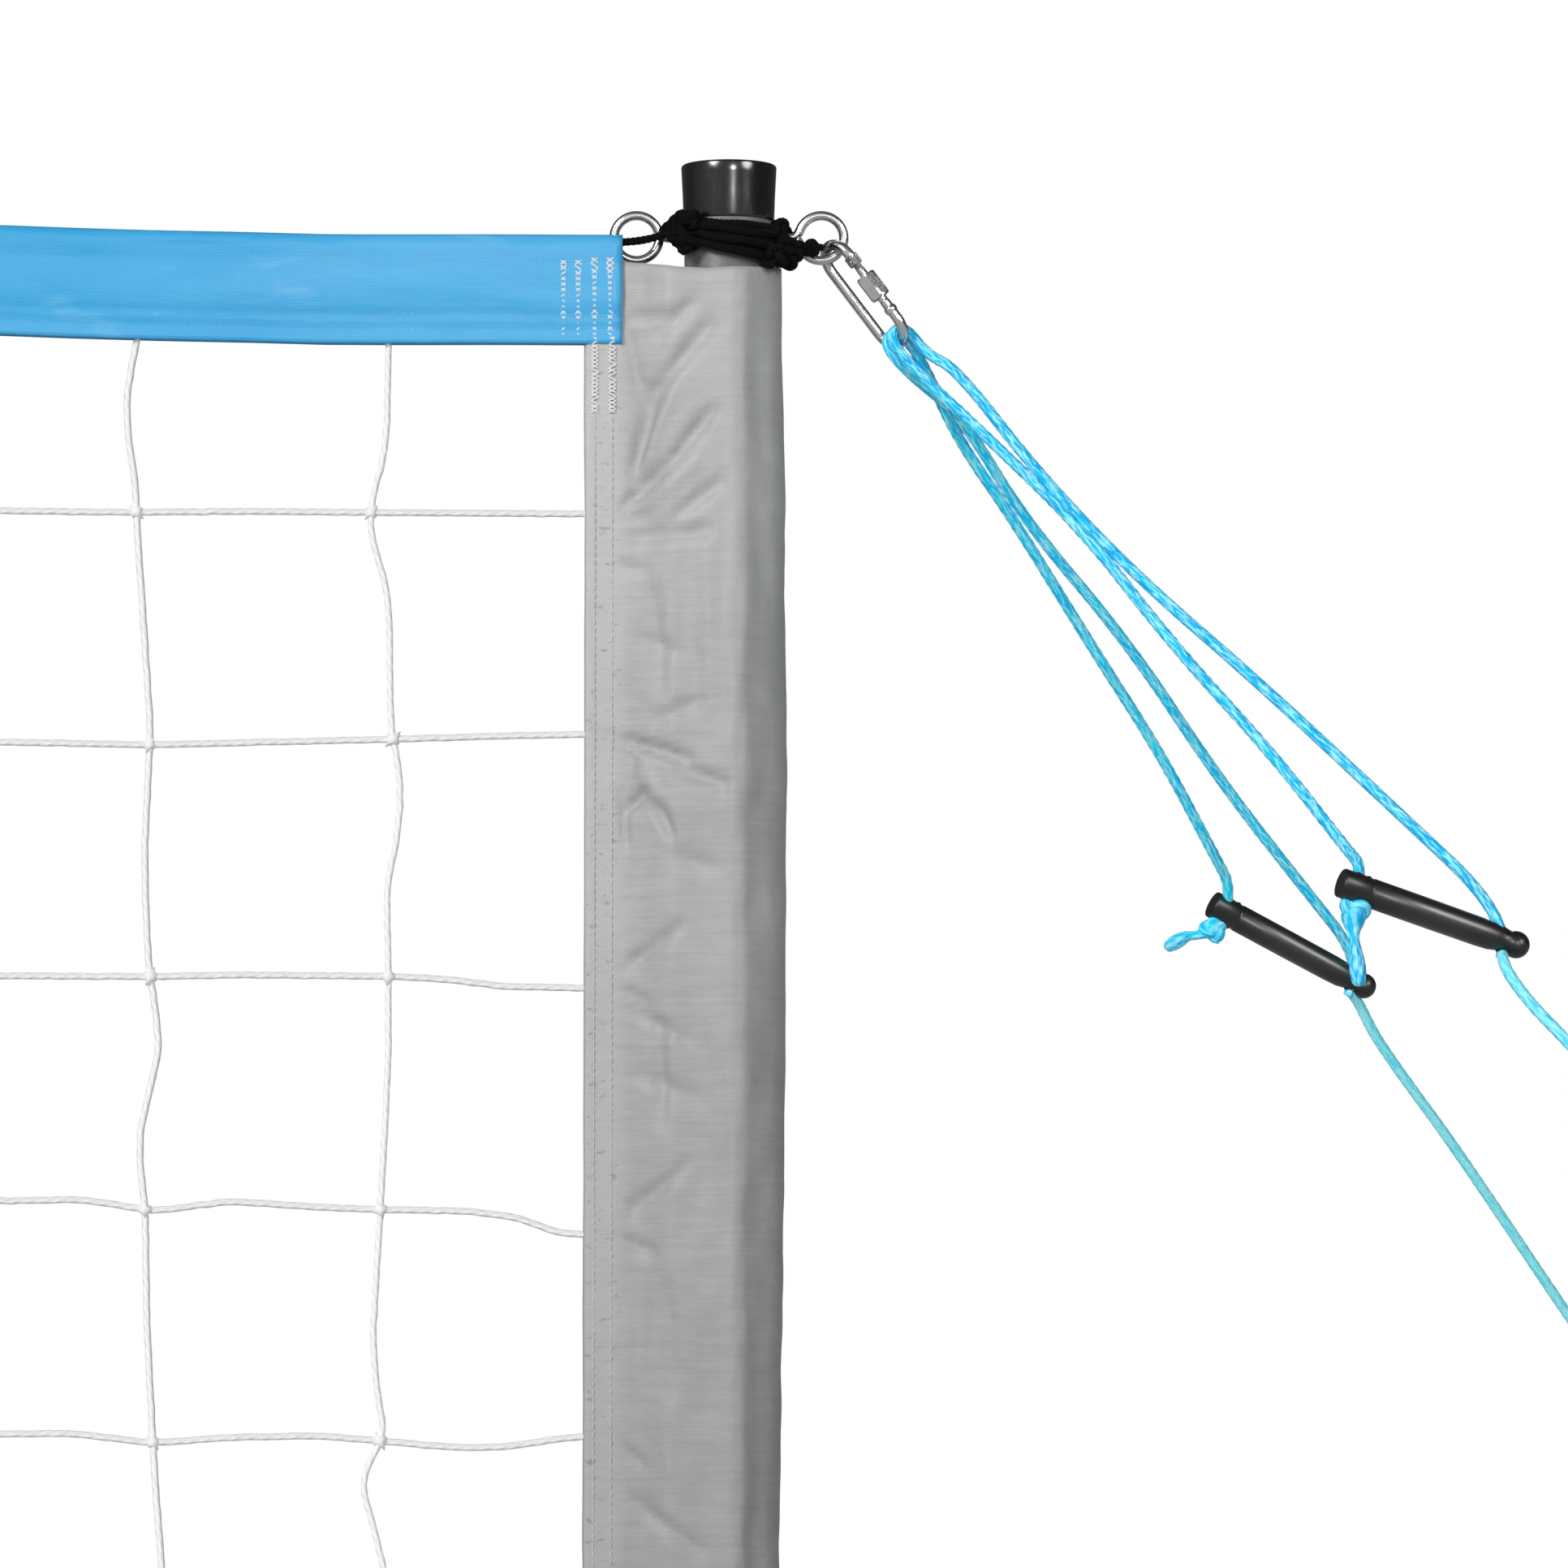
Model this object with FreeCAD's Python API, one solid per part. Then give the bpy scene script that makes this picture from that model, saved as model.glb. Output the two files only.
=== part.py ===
import FreeCAD, Part
import math
import os

os.makedirs("parts", exist_ok=True)

V = FreeCAD.Vector

# Driving dimensions, in mm. Z = 0 is the ground, X runs along the net, -Y is the front.
# Net and court
POLE_SPACING = 9753.6        # 32 ft between the two pole axes
TAPE_TOP = 2238.5            # top edge of the head tape
TAPE_HEIGHT = 46.5
NET_BOTTOM = 1311.0
NET_Y = -7.0                 # the net hangs a little in front of the pole axis
MESH_COLUMN = 100.6          # twine spacing along the net
MESH_ROW = 98.3
FIRST_COLUMN = -48.0         # last upright twine, measured from the right pole axis
FIRST_ROW = TAPE_TOP - 21.5
TWINE = 3.0
TWINES_PER_BAR = 3           # the plain grille keeps every third twine
# Poles
UPPER_OD = 38.1
UPPER_WALL = 1.6
UPPER_TOP = TAPE_TOP + 6.0
LOWER_OD = 42.4
LOWER_WALL = 1.6
MIDDLE_TOP = 1200.0
BASE_TOP = 620.0
SPIGOT_LENGTH = 120.0
RUN_GAP = 0.1                # radial running clearance of the telescope
SEAT_GAP = 0.1               # radial clearance of parts that are pushed together and stay
RISE = 190.0                 # how far the pole extends
LEFT_INSIDE = 210.0          # upper tube still inside the lower one when drawn out
# Cap and eyes
CAP_TOP = UPPER_TOP + 24.3
CAP_TOP_R = 20.4
CAP_LOW_R = 19.4
CAP_WALL = 2.8
CAP_PLUG = 27.0              # how far the plug reaches into the tube
EYE_Z = TAPE_TOP - 0.9
EYE_X = 39.5                 # centre of the eye from the pole axis
EYE_R = 9.7                  # middle of the wire
EYE_WIRE = 4.0
NUT_R = 4.5
# Snap link, in its own plane: "down" runs along the pull of the guy lines
PULL_ANGLE = 53.0            # below the horizontal
LINK_TURN = 30.0             # turned about its length
LINK_WIRE = 4.6
LINK_LEG = 9.0               # half the distance between the legs
LINK_LENGTH = 51.5
LINK_START = 4.9             # from the eye centre to the top of the link
GATE_ROD = 4.4
# Ropes and sliders
ROPE = 4.8
SLIDER_LENGTH = 85.0
SLIDER_R = 6.1
SLIDER_HOLE_R = 2.9
UPPER_HOLE_AT = 8.5
LOWER_HOLE_AT = 75.0
STAKE_X = 1700.0
STAKE_Y = 1650.0
STAKE_R = 3.6
STAKE_DEPTH = 230.0
STAKE_SHOWS = 6.0            # full-round shank that stays above the ground
STAKE_HOOK_R = 10.0          # middle of the rod in the hook
TIE_CORD = 3.4

HALF = POLE_SPACING / 2
UPPER_BOTTOM = MIDDLE_TOP - RISE - LEFT_INSIDE
PULL = V(math.cos(math.radians(PULL_ANGLE)), 0, -math.sin(math.radians(PULL_ANGLE)))
SIDE_UP = V(-PULL.z, 0, PULL.x)


def add(a, b, k=1.0):
    """a plus k times b"""
    return a + V(b.x * k, b.y * k, b.z * k)


def unit(v):
    w = V(v)
    w.normalize()
    return w


def write(shape, name):
    """One solid, cleaned and written as its own STEP file."""
    solid = shape
    if shape.ShapeType == "Compound" and len(shape.Solids) == 1:
        solid = shape.Solids[0]
    solid.exportStep("parts/%s.step" % name)
    print("%-28s solids %d volume %.0f mm3 valid %s"
          % (name, len(shape.Solids), shape.Volume, shape.isValid()))


def place(shape, side):
    """From the right pole's own axis to the court; the left end is the mirror image."""
    moved = shape.copy()
    moved.translate(V(HALF, 0, 0))
    if side == "left":
        moved = moved.mirror(V(0, 0, 0), V(1, 0, 0))
    return moved


def tube(r_out, r_in, z0, z1):
    outer = Part.makeCylinder(r_out, z1 - z0, V(0, 0, z0))
    return outer.cut(Part.makeCylinder(r_in, z1 - z0, V(0, 0, z0)))


def revolved(profile):
    """Turns a closed (radius, z) outline about the Z axis."""
    points = [V(r, 0, z) for r, z in profile]
    face = Part.Face(Part.makePolygon(points + [points[0]]))
    return face.revolve(V(0, 0, 0), V(0, 0, 1), 360)


def rounded_route(points, closed=False, radii=None, note=None, cut_back=None):
    """Straight runs joined by tangent arcs; the radius follows the shorter run and the turn."""
    n = len(points)
    corners = list(range(n)) if closed else list(range(1, n - 1))
    cuts = {}
    smallest = 1e9
    for i in corners:
        before = points[i] - points[i - 1]
        after = points[(i + 1) % n] - points[i]
        turn = before.getAngle(after)
        run = min(before.Length, after.Length)
        radius = 0.45 * run / math.tan(turn / 2)
        if radii and i in radii:
            radius = radii[i]
        if cut_back and i in cut_back:
            radius = cut_back[i] / math.tan(turn / 2)
        back = radius * math.tan(turn / 2)
        if note:
            print("  bend %d turn %.0f radius %.1f" % (i, math.degrees(turn), radius))
        start = add(points[i], unit(before), -back)
        end = add(points[i], unit(after), back)
        inward = unit(unit(after) - unit(before))
        middle = add(points[i], inward, radius / math.cos(turn / 2) - radius)
        cuts[i] = (start, middle, end)
        smallest = min(smallest, radius)
    edges = []
    for i in (range(n) if closed else range(n - 1)):
        j = (i + 1) % n
        a = cuts[i][2] if i in cuts else points[i]
        b = cuts[j][0] if j in cuts else points[j]
        if (b - a).Length > 1e-4:
            edges.append(Part.makeLine(a, b))
        if j in cuts:
            edges.append(Part.Arc(*cuts[j]).toShape())
    if note:
        length = sum(e.Length for e in edges)
        print("%s: length %.1f, smallest radius %.1f" % (note, length, smallest))
    return edges


def ring_section(centre, direction, radius, sides=0):
    """A round section, or a many-sided one of the same area."""
    d = unit(direction)
    if not sides:
        return Part.Wire([Part.makeCircle(radius, centre, d)])
    across = d.cross(V(0, 0, 1) if abs(d.z) < 0.9 else V(1, 0, 0))
    across.normalize()
    up = d.cross(across)
    r = radius * math.sqrt(math.pi / (sides / 2.0 * math.sin(2 * math.pi / sides)))
    points = []
    for k in range(sides):
        t = 2 * math.pi * (k + 0.5) / sides
        points.append(add(add(centre, across, r * math.cos(t)), up, r * math.sin(t)))
    return Part.makePolygon(points + [points[0]])


def shell_solid(rings, closed=False):
    """A solid from equal rings of points, joined by flat-sided bands."""
    n = len(rings[0])
    faces = []
    for k in range(len(rings) if closed else len(rings) - 1):
        low, high = rings[k], rings[(k + 1) % len(rings)]
        for i in range(n):
            j = (i + 1) % n
            for corners in ((low[i], low[j], high[j]), (low[i], high[j], high[i])):
                if min((corners[0] - corners[1]).Length, (corners[1] - corners[2]).Length,
                       (corners[2] - corners[0]).Length) > 1e-4:
                    faces.append(Part.Face(Part.makePolygon(list(corners) + [corners[0]])))
    if not closed:
        for ring in (rings[0], rings[-1]):
            if (ring[0] - ring[n // 2]).Length > 1e-3:
                faces.append(Part.Face(Part.makePolygon(ring + [ring[0]])))
    shell = Part.makeShell(faces)
    shell.sewShape()
    solid = Part.makeSolid(shell if shell.ShapeType == "Shell" else shell.Shells[0])
    if solid.Volume < 0:
        solid.reverse()
    return solid.removeSplitter()


def swept(edges, radius, sides=8, step=20.0):
    """Carries a many-sided section along lines and arcs, mitred at each small turn."""
    path = [edges[0].valueAt(edges[0].FirstParameter)]
    for edge in edges:
        count = 1
        if edge.Curve.TypeId != "Part::GeomLine":
            count = max(1, math.ceil(math.degrees(edge.Length / edge.Curve.Radius) / step))
        span = edge.LastParameter - edge.FirstParameter
        for k in range(1, count + 1):
            path.append(edge.valueAt(edge.FirstParameter + span * k / count))
    closed = (path[0] - path[-1]).Length < 1e-3
    if closed:
        path.pop()
    n = len(path)
    ways = [unit(path[(i + 1) % n] - path[i]) for i in range(n if closed else n - 1)]
    ring = ring_section(path[0], ways[0], radius, sides)
    points = [v.Point for v in ring.OrderedVertexes][:sides]
    if closed:
        cut = unit(ways[-1] + ways[0])
        points = [add(q, ways[0], -(q - path[0]).dot(cut) / ways[0].dot(cut)) for q in points]
    rings = [points]
    for i in range(1, n if not closed else n):
        way = ways[i - 1]
        last = (not closed) and i == n - 1
        cut = way if last else unit(way + ways[i % len(ways)])
        points = [add(q, way, (path[i] - q).dot(cut) / way.dot(cut)) for q in points]
        rings.append(points)
    return shell_solid(rings, closed)


def turned(profile, sides=16):
    """A many-sided turned bar from a (radius, length) outline along Z."""
    rings = []
    for r, z in profile:
        r = max(r, 0.02)
        rings.append([V(r * math.cos(2 * math.pi * k / sides), r * math.sin(2 * math.pi * k / sides), z)
                      for k in range(sides)])
    return shell_solid(rings)


# Poles
UPPER_R = UPPER_OD / 2
UPPER_IN = UPPER_R - UPPER_WALL
LOWER_R = LOWER_OD / 2
LOWER_IN = LOWER_R - LOWER_WALL


def pole_upper():
    body = tube(UPPER_R, UPPER_IN, UPPER_BOTTOM, UPPER_TOP)
    bore = Part.makeCylinder(EYE_WIRE / 2 + 0.2, 60, V(-30, 0, EYE_Z), V(1, 0, 0))
    return body.cut(bore)


def pole_middle():
    """Tube with a drawn-in spigot that drops into the base."""
    inner = LOWER_IN
    spigot = LOWER_IN - RUN_GAP
    low = BASE_TOP - SPIGOT_LENGTH
    return revolved([
        (spigot - 1.5, low), (spigot, low + 1.5), (spigot, BASE_TOP),
        (LOWER_R, BASE_TOP), (LOWER_R, MIDDLE_TOP), (inner, MIDDLE_TOP),
        (inner, BASE_TOP + 12), (spigot - LOWER_WALL - 0.4, BASE_TOP),
        (spigot - LOWER_WALL - 0.4, low),
    ])


def pole_base():
    return tube(LOWER_R, LOWER_IN, 5.0, BASE_TOP)


def foot():
    """Moulded foot cup with a spread sole."""
    r = LOWER_R + SEAT_GAP
    cup = revolved([
        (0, 0), (26.0, 0), (27.5, 1.5), (27.5, 6.0), (r + 2.4, 11.0),
        (r + 2.0, 41.0), (r, 41.0), (r, 5.0), (0, 5.0),
    ])
    return cup


def slide_bush():
    """Bush on the upper tube's lower end; it runs inside the lower tube."""
    run = LOWER_IN - RUN_GAP
    return revolved([
        (UPPER_IN - 3.0, UPPER_BOTTOM - 6), (run - 1.0, UPPER_BOTTOM - 6),
        (run, UPPER_BOTTOM - 5), (run, UPPER_BOTTOM), (UPPER_IN - SEAT_GAP, UPPER_BOTTOM),
        (UPPER_IN - SEAT_GAP, UPPER_BOTTOM + 34), (UPPER_IN - 1.0, UPPER_BOTTOM + 36),
        (UPPER_IN - 3.0, UPPER_BOTTOM + 36),
    ])


def guide_ring():
    """Plastic guide set in the mouth of the lower tube."""
    bore = UPPER_R + RUN_GAP
    return revolved([
        (bore, MIDDLE_TOP - 30), (LOWER_IN - 0.05, MIDDLE_TOP - 30),
        (LOWER_IN - 0.05, MIDDLE_TOP), (LOWER_R - 0.3, MIDDLE_TOP),
        (LOWER_R - 0.3, MIDDLE_TOP + 2.5), (bore, MIDDLE_TOP + 2.5),
    ])


def lock_collar():
    """Twist collar with grip ribs that closes the clamp."""
    z0 = MIDDLE_TOP - 48
    z1 = MIDDLE_TOP + 12
    inner = LOWER_R + 0.35
    body = revolved([
        (inner, z0), (26.0, z0), (27.0, z0 + 2), (27.0, z1 - 10), (23.5, z1),
        (UPPER_R + 0.5, z1), (UPPER_R + 0.5, MIDDLE_TOP + 3.2), (inner, MIDDLE_TOP + 3.2),
    ])
    ribs = []
    for k in range(12):
        rib = Part.makeBox(1.6, 3.2, z1 - z0 - 18, V(26.4, -1.6, z0 + 4))
        rib.rotate(V(0, 0, 0), V(0, 0, 1), 30 * k)
        ribs.append(rib)
    return body.fuse(ribs)


def top_cap():
    """Head that stands on the tube end, plug inside it, and a web that holds the nut."""
    plug = UPPER_IN - SEAT_GAP
    low = UPPER_TOP - CAP_PLUG
    shell = revolved([
        (0, CAP_TOP), (CAP_TOP_R - 0.8, CAP_TOP), (CAP_TOP_R, CAP_TOP - 0.8),
        (CAP_LOW_R, UPPER_TOP), (plug, UPPER_TOP), (plug - 0.4, low), (plug - CAP_WALL, low),
        (plug - CAP_WALL, CAP_TOP - 3.4), (0, CAP_TOP - 3.4),
    ])
    web = Part.makeBox(2 * plug - 4, 13.0, 17.0, V(2 - plug, -6.5, EYE_Z - 8.5))
    body = shell.fuse(web)
    return body.cut(Part.makeCylinder(NUT_R + SEAT_GAP, 60, V(-30, 0, EYE_Z), V(1, 0, 0)))


def barrel_nut():
    rod = Part.makeCylinder(NUT_R, 31.0, V(-15.5, 0, EYE_Z), V(1, 0, 0))
    rod = rod.makeChamfer(0.6, rod.Edges[0:1] + rod.Edges[2:3])
    return rod.cut(Part.makeCylinder(EYE_WIRE / 2 + 0.1, 40, V(-20, 0, EYE_Z), V(1, 0, 0)))


def turned_wire(start, heading, centre, axis, degrees):
    """An eight-sided wire section carried round an axis."""
    ring = ring_section(start, heading, EYE_WIRE / 2, 8)
    return Part.Face(ring).revolve(centre, axis, degrees)


def eye_bolt(sign):
    """One bent wire: straight shank, a set at the neck, then round the eye to a cut end."""
    bend = 5.0
    neck = EYE_X - math.sqrt((EYE_R + bend) ** 2 - bend ** 2)
    start = V(2.5, 0, 0)
    neck_point = V(neck, 0, 0)
    centre = V(EYE_X, 0, 0)
    fillet = V(neck, 0, bend)
    toward = unit(fillet - centre)
    meet = add(centre, toward, EYE_R)
    a0 = math.radians(-90)
    a1 = math.atan2(meet.z - fillet.z, meet.x - fillet.x)
    b0 = math.atan2(toward.z, toward.x)
    b1 = math.radians(-153)
    shank = Part.Face(ring_section(start, V(1, 0, 0), EYE_WIRE / 2, 8)).extrude(neck_point - start)
    set_back = turned_wire(neck_point, V(1, 0, 0), fillet, V(0, -1, 0), math.degrees(a1 - a0))
    heading = V(-math.sin(a1), 0, math.cos(a1))
    round_eye = turned_wire(meet, heading, centre, V(0, 1, 0), math.degrees(b0 - b1))
    wire = shank.fuse([set_back, round_eye]).removeSplitter()
    wire.translate(V(0, 0, EYE_Z))
    if sign < 0:
        wire = wire.mirror(V(0, 0, 0), V(1, 0, 0))
    return wire


# Snap link
EYE_CENTRE = V(EYE_X, 0, EYE_Z)
LINK_TOP = add(EYE_CENTRE, PULL, LINK_START)
turn = math.radians(LINK_TURN)
LINK_SIDE = add(V(0, -math.cos(turn), 0), SIDE_UP, math.sin(turn))
LINK_NORMAL = PULL.cross(LINK_SIDE)
LINK_FRAME = FreeCAD.Rotation(LINK_SIDE, LINK_NORMAL, PULL, "ZXY")


def link_point(down, side, out=0.0):
    return add(add(add(LINK_TOP, PULL, down), LINK_SIDE, side), LINK_NORMAL, out)


HINGE_AT = 12.5
STUB_AT = LINK_LENGTH - 17.3


def link_rod(r, d0, d1, side=LINK_LEG):
    return Part.makeCylinder(r, d1 - d0, link_point(d0, side), PULL)


def link_hook():
    """The bent body: short upper jaw, round top, plain leg, round bottom, threaded stub."""
    leg = LINK_LEG
    low = LINK_LENGTH - leg
    edges = [
        Part.makeLine(link_point(HINGE_AT - 2.7, leg), link_point(leg, leg)),
        Part.Arc(link_point(leg, leg), link_point(0, 0), link_point(leg, -leg)).toShape(),
        Part.makeLine(link_point(leg, -leg), link_point(low, -leg)),
        Part.Arc(link_point(low, -leg), link_point(LINK_LENGTH, 0),
                 link_point(low, leg)).toShape(),
        Part.makeLine(link_point(low, leg), link_point(STUB_AT + 4.5, leg)),
    ]
    body = swept(edges, LINK_WIRE / 2)
    stub = link_rod(GATE_ROD / 2, STUB_AT, STUB_AT + 4.6)
    jaws = []
    for out in (-1, 1):
        cheek = Part.makeCylinder(2.6, 1.15, link_point(HINGE_AT, leg, 1.15 if out > 0 else -2.3),
                                  LINK_NORMAL)
        jaws.append(cheek)
        base = Part.makeBox(4.4, 1.15, 3.2)
        base.Placement = FreeCAD.Placement(
            link_point(HINGE_AT - 3.0, leg - 2.2, 1.15 if out > 0 else -2.3), LINK_FRAME)
        jaws.append(base)
    body = body.fuse([stub] + jaws)
    pin = Part.makeCylinder(0.9, 10, link_point(HINGE_AT, leg, -5), LINK_NORMAL)
    return body.cut(pin).removeSplitter()


def link_gate():
    """Flat tongue on the pin, thin neck, threaded rod."""
    leg = LINK_LEG
    tongue = Part.makeCylinder(2.1, 2.0, link_point(HINGE_AT, leg, -1.0), LINK_NORMAL)
    bar = Part.makeBox(3.6, 2.0, 6.0)
    bar.Placement = FreeCAD.Placement(link_point(HINGE_AT, leg - 1.8, -1.0), LINK_FRAME)
    neck = link_rod(1.9, HINGE_AT + 3.6, HINGE_AT + 8.5)
    rod = link_rod(GATE_ROD / 2, HINGE_AT + 7.2, STUB_AT - 0.3)
    body = tongue.fuse([bar, neck, rod])
    pin = Part.makeCylinder(0.9, 10, link_point(HINGE_AT, leg, -5), LINK_NORMAL)
    return body.cut(pin).removeSplitter()


def link_pin():
    return Part.makeCylinder(0.85, 4.8, link_point(HINGE_AT, LINK_LEG, -2.4), LINK_NORMAL)


def link_nut():
    """Long six-sided lock nut with turned ends."""
    z0 = HINGE_AT + 7.9
    length = STUB_AT - 2.8 - z0
    r = 7.0 / 2 / math.cos(math.pi / 6)
    points = []
    for k in range(7):
        t = math.radians(60 * k)
        points.append(add(link_point(z0, LINK_LEG + r * math.cos(t)), LINK_NORMAL, r * math.sin(t)))
    body = Part.Face(Part.makePolygon(points)).extrude(PULL * length)
    turned = Part.makeCylinder(r - 0.25, length, link_point(z0, LINK_LEG), PULL)
    turned = turned.makeChamfer(0.7, [turned.Edges[0], turned.Edges[2]])
    body = body.common(turned)
    return body.cut(link_rod(GATE_ROD / 2 + 0.1, z0 - 1, z0 + length + 1))


# Guy ropes
# Each set is drawn for the back line and the front line of the right pole. The points are
# the bends of the two strands between the slider and the link.
BACK_A = [(211, 154, 1990), (188, 125, 2029), (156, 91, 2074), (122, 53, 2124), (98, 30, 2155)]
BACK_B = [(100, 24, 2164), (127, 54, 2123), (173, 91, 2074), (214, 133, 2018), (252, 166, 1974)]
FRONT_A = [(253, -176, 1960), (226, -146, 2000), (185, -108, 2051), (149, -69, 2104),
           (108, -34, 2149)]
FRONT_B = [(97, -11, 2180), (130, -48, 2131), (171, -85, 2082), (221, -122, 2033),
           (270, -161, 1981)]

SEEN_EYE = V(39.5, 0, 2237.6)     # the routes above are measured with the eye here


def laid(point):
    """A measured point, carried along with the eye."""
    return V(*point) + EYE_CENTRE - SEEN_EYE


SETS = {
    "back": {"a": BACK_A, "b": BACK_B, "middle": V(249, 186, 1948), "tilt": 27.0,
             "y": STAKE_Y, "slot": -2.6},
    "front": {"a": FRONT_A, "b": FRONT_B, "middle": V(288, -199, 1930), "tilt": 18.0,
              "y": -STAKE_Y, "slot": 2.6},
}


def slider_axes(which):
    """Along the bar, and down through its holes."""
    tilt = math.radians(SETS[which]["tilt"])
    away = math.radians(16.0)
    along = V(math.cos(tilt) * math.cos(away), math.sin(away), -math.sin(tilt) * math.cos(away))
    through = along.cross(V(0, 1, 0))
    through.normalize()
    if through.z > 0:
        through = V(-through.x, -through.y, -through.z)
    start = add(laid(SETS[which]["middle"]), along, -SLIDER_LENGTH / 2)
    return start, along, through


def slider_point(which, at, down=0.0):
    start, along, through = slider_axes(which)
    return add(add(start, along, at), through, down)


def slider(which):
    """Turned bar with a faint step, a neck and a ball end, and two cross holes."""
    r = SLIDER_R
    ball = 5.6
    end = SLIDER_LENGTH
    arc = []
    for k in range(6):
        t = math.radians(-48 + 27 * k)
        arc.append((ball * math.cos(t), end - ball + ball * math.sin(t)))
    profile = [(r - 0.5, 0), (r, 0.5), (r, 12.2), (r - 0.25, 12.5), (r - 0.25, 13.1),
               (r, 13.4), (r, 66.0), (r - 0.5, 69.5), (4.5, 72.5)] + arc[1:]
    body = turned(profile)
    for at in (UPPER_HOLE_AT, LOWER_HOLE_AT):
        body = body.cut(Part.makeCylinder(SLIDER_HOLE_R, 20, V(-10, 0, at), V(1, 0, 0)))
    start, along, through = slider_axes(which)
    third = along.cross(through)
    body.Placement = FreeCAD.Placement(start, FreeCAD.Rotation(through, third, along, "ZXY"))
    return body


def stake_foot(which):
    """Point on the ground where the stake goes in, and its axis, pointing down."""
    y = SETS[which]["y"]
    out = unit(V(STAKE_X, y, 0))
    lean = math.radians(18)
    down = V(-out.x * math.sin(lean), -out.y * math.sin(lean), -math.cos(lean))
    return V(STAKE_X, y, 0), down, out


def line_end(which):
    """Where the rope's end loop holds the stake, just above the ground."""
    foot_point, down, out = stake_foot(which)
    return add(foot_point, down, -22.0)


def guy_loop(which):
    """Rope from the stopper knot up to the link, over its bottom bend and back down."""
    data = SETS[which]
    hole_a = slider_point(which, UPPER_HOLE_AT, 0)
    out_a = slider_point(which, UPPER_HOLE_AT, -12)
    knot = slider_point(which, UPPER_HOLE_AT, 14.5)
    hole_b = slider_point(which, LOWER_HOLE_AT, 7.2)
    out_b = slider_point(which, LOWER_HOLE_AT, -14)
    side = data["slot"]
    seat = LINK_LENGTH - LINK_WIRE / 2 - ROPE / 2 - 0.3
    lift = 5.1
    over = [link_point(seat + 16, side, -lift), link_point(seat - 2.9, side, -lift),
            link_point(seat - 2.9, side, lift), link_point(seat + 16, side, lift)]
    if (over[0] - laid(data["a"][-1])).Length > (over[3] - laid(data["a"][-1])).Length:
        over.reverse()
    points = [knot, hole_a, out_a] + [laid(p) for p in data["a"]] + over
    points += [laid(p) for p in data["b"]] + [out_b, hole_b]
    start = 3 + len(data["a"]) + 1
    radii = {start: 4.8, start + 1: 4.8}
    points = [p for k, p in enumerate(points) if k != 1]
    radii = {k - 1: r for k, r in radii.items()}
    edges = rounded_route(points, radii=radii, note="guy loop " + which,
                          cut_back={1: 5.4, len(points) - 2: 6.5})
    return swept(edges, ROPE / 2, 8)


def ball(r, centre):
    """A plain many-sided lump of knotted cord."""
    profile = [(r * math.cos(math.radians(a)), r * math.sin(math.radians(a)))
               for a in (-90, -60, -30, 0, 30, 60, 90)]
    lump = turned(profile, 10)
    lump.translate(centre)
    return lump


def stopper_knot(which):
    """The knot under the slider: two fat turns and a short tail."""
    centre = slider_point(which, UPPER_HOLE_AT, 14.0)
    start, along, through = slider_axes(which)
    lobes = [ball(6.4, add(centre, along, -1.6)), ball(6.0, add(centre, along, 2.7))]
    if which == "back":
        tail = V(-0.94, 0.1, -0.33)
        length = 17
    else:
        tail = V(0.02, -0.2, -0.98)
        length = 30
    rod = swept([Part.makeLine(centre, add(centre, unit(tail), length))], ROPE / 2)
    return lobes[0].fuse([lobes[1], rod])


def guy_line(which):
    """The long pulled-tight run from the slider to an end loop round the stake."""
    top = slider_point(which, LOWER_HOLE_AT, 7.2)
    bend = slider_point(which, LOWER_HOLE_AT, 26.0)
    end = line_end(which)
    foot_point, down, out = stake_foot(which)
    pull = unit(bend - end)
    reach = add(end, pull, 46.0)
    run = rounded_route([top, bend, reach], note="guy line " + which)
    rope = swept(run, ROPE / 2, 8)
    across = down.cross(out)
    across.normalize()
    flat = across.cross(down)
    flat.normalize()
    r = STAKE_R + ROPE / 2 + 0.5
    tip = add(reach, pull, 6.0)
    ring = [add(add(end, across, r * math.sin(t)), flat, r * math.cos(t))
            for t in [math.radians(45 * k + 22.5) for k in range(8)]]
    eye = swept(closed_loop(ring), ROPE / 2, 8)
    inward = add(end, flat, -r - 1.4 if flat.dot(pull) < 0 else r + 1.4)
    neck = swept([Part.makeLine(tip, inward)], ROPE / 2 + 1.0, 8)
    return rope.fuse([eye, neck])


def stake(which):
    """Bent rod stake: hook, straight shank and a ground point."""
    foot_point, down, out = stake_foot(which)
    top = add(foot_point, down, -44.0)
    low = add(foot_point, down, (STAKE_DEPTH - 22.0) / math.cos(math.radians(18)))
    across = down.cross(out)
    across.normalize()
    flat = across.cross(down)
    flat.normalize()
    if flat.dot(out) < 0:
        flat = V(-flat.x, -flat.y, -flat.z)
    r = STAKE_HOOK_R
    crown = add(add(top, flat, r), down, -r)
    far = add(top, flat, 2 * r)
    end = add(far, down, 13.0)
    ground = add(foot_point, down, -STAKE_SHOWS)
    shank = Part.makeCylinder(STAKE_R, (ground - low).Length, low, unit(ground - low))
    edges = [Part.makeLine(add(ground, down, 8.0), top), Part.Arc(top, crown, far).toShape(),
             Part.makeLine(far, end)]
    rod = swept(edges, 0.945 * STAKE_R).fuse(shank)
    point = Part.makeCone(STAKE_R, 0.6, 22.0, low, down)
    return rod.fuse(point)


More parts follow.
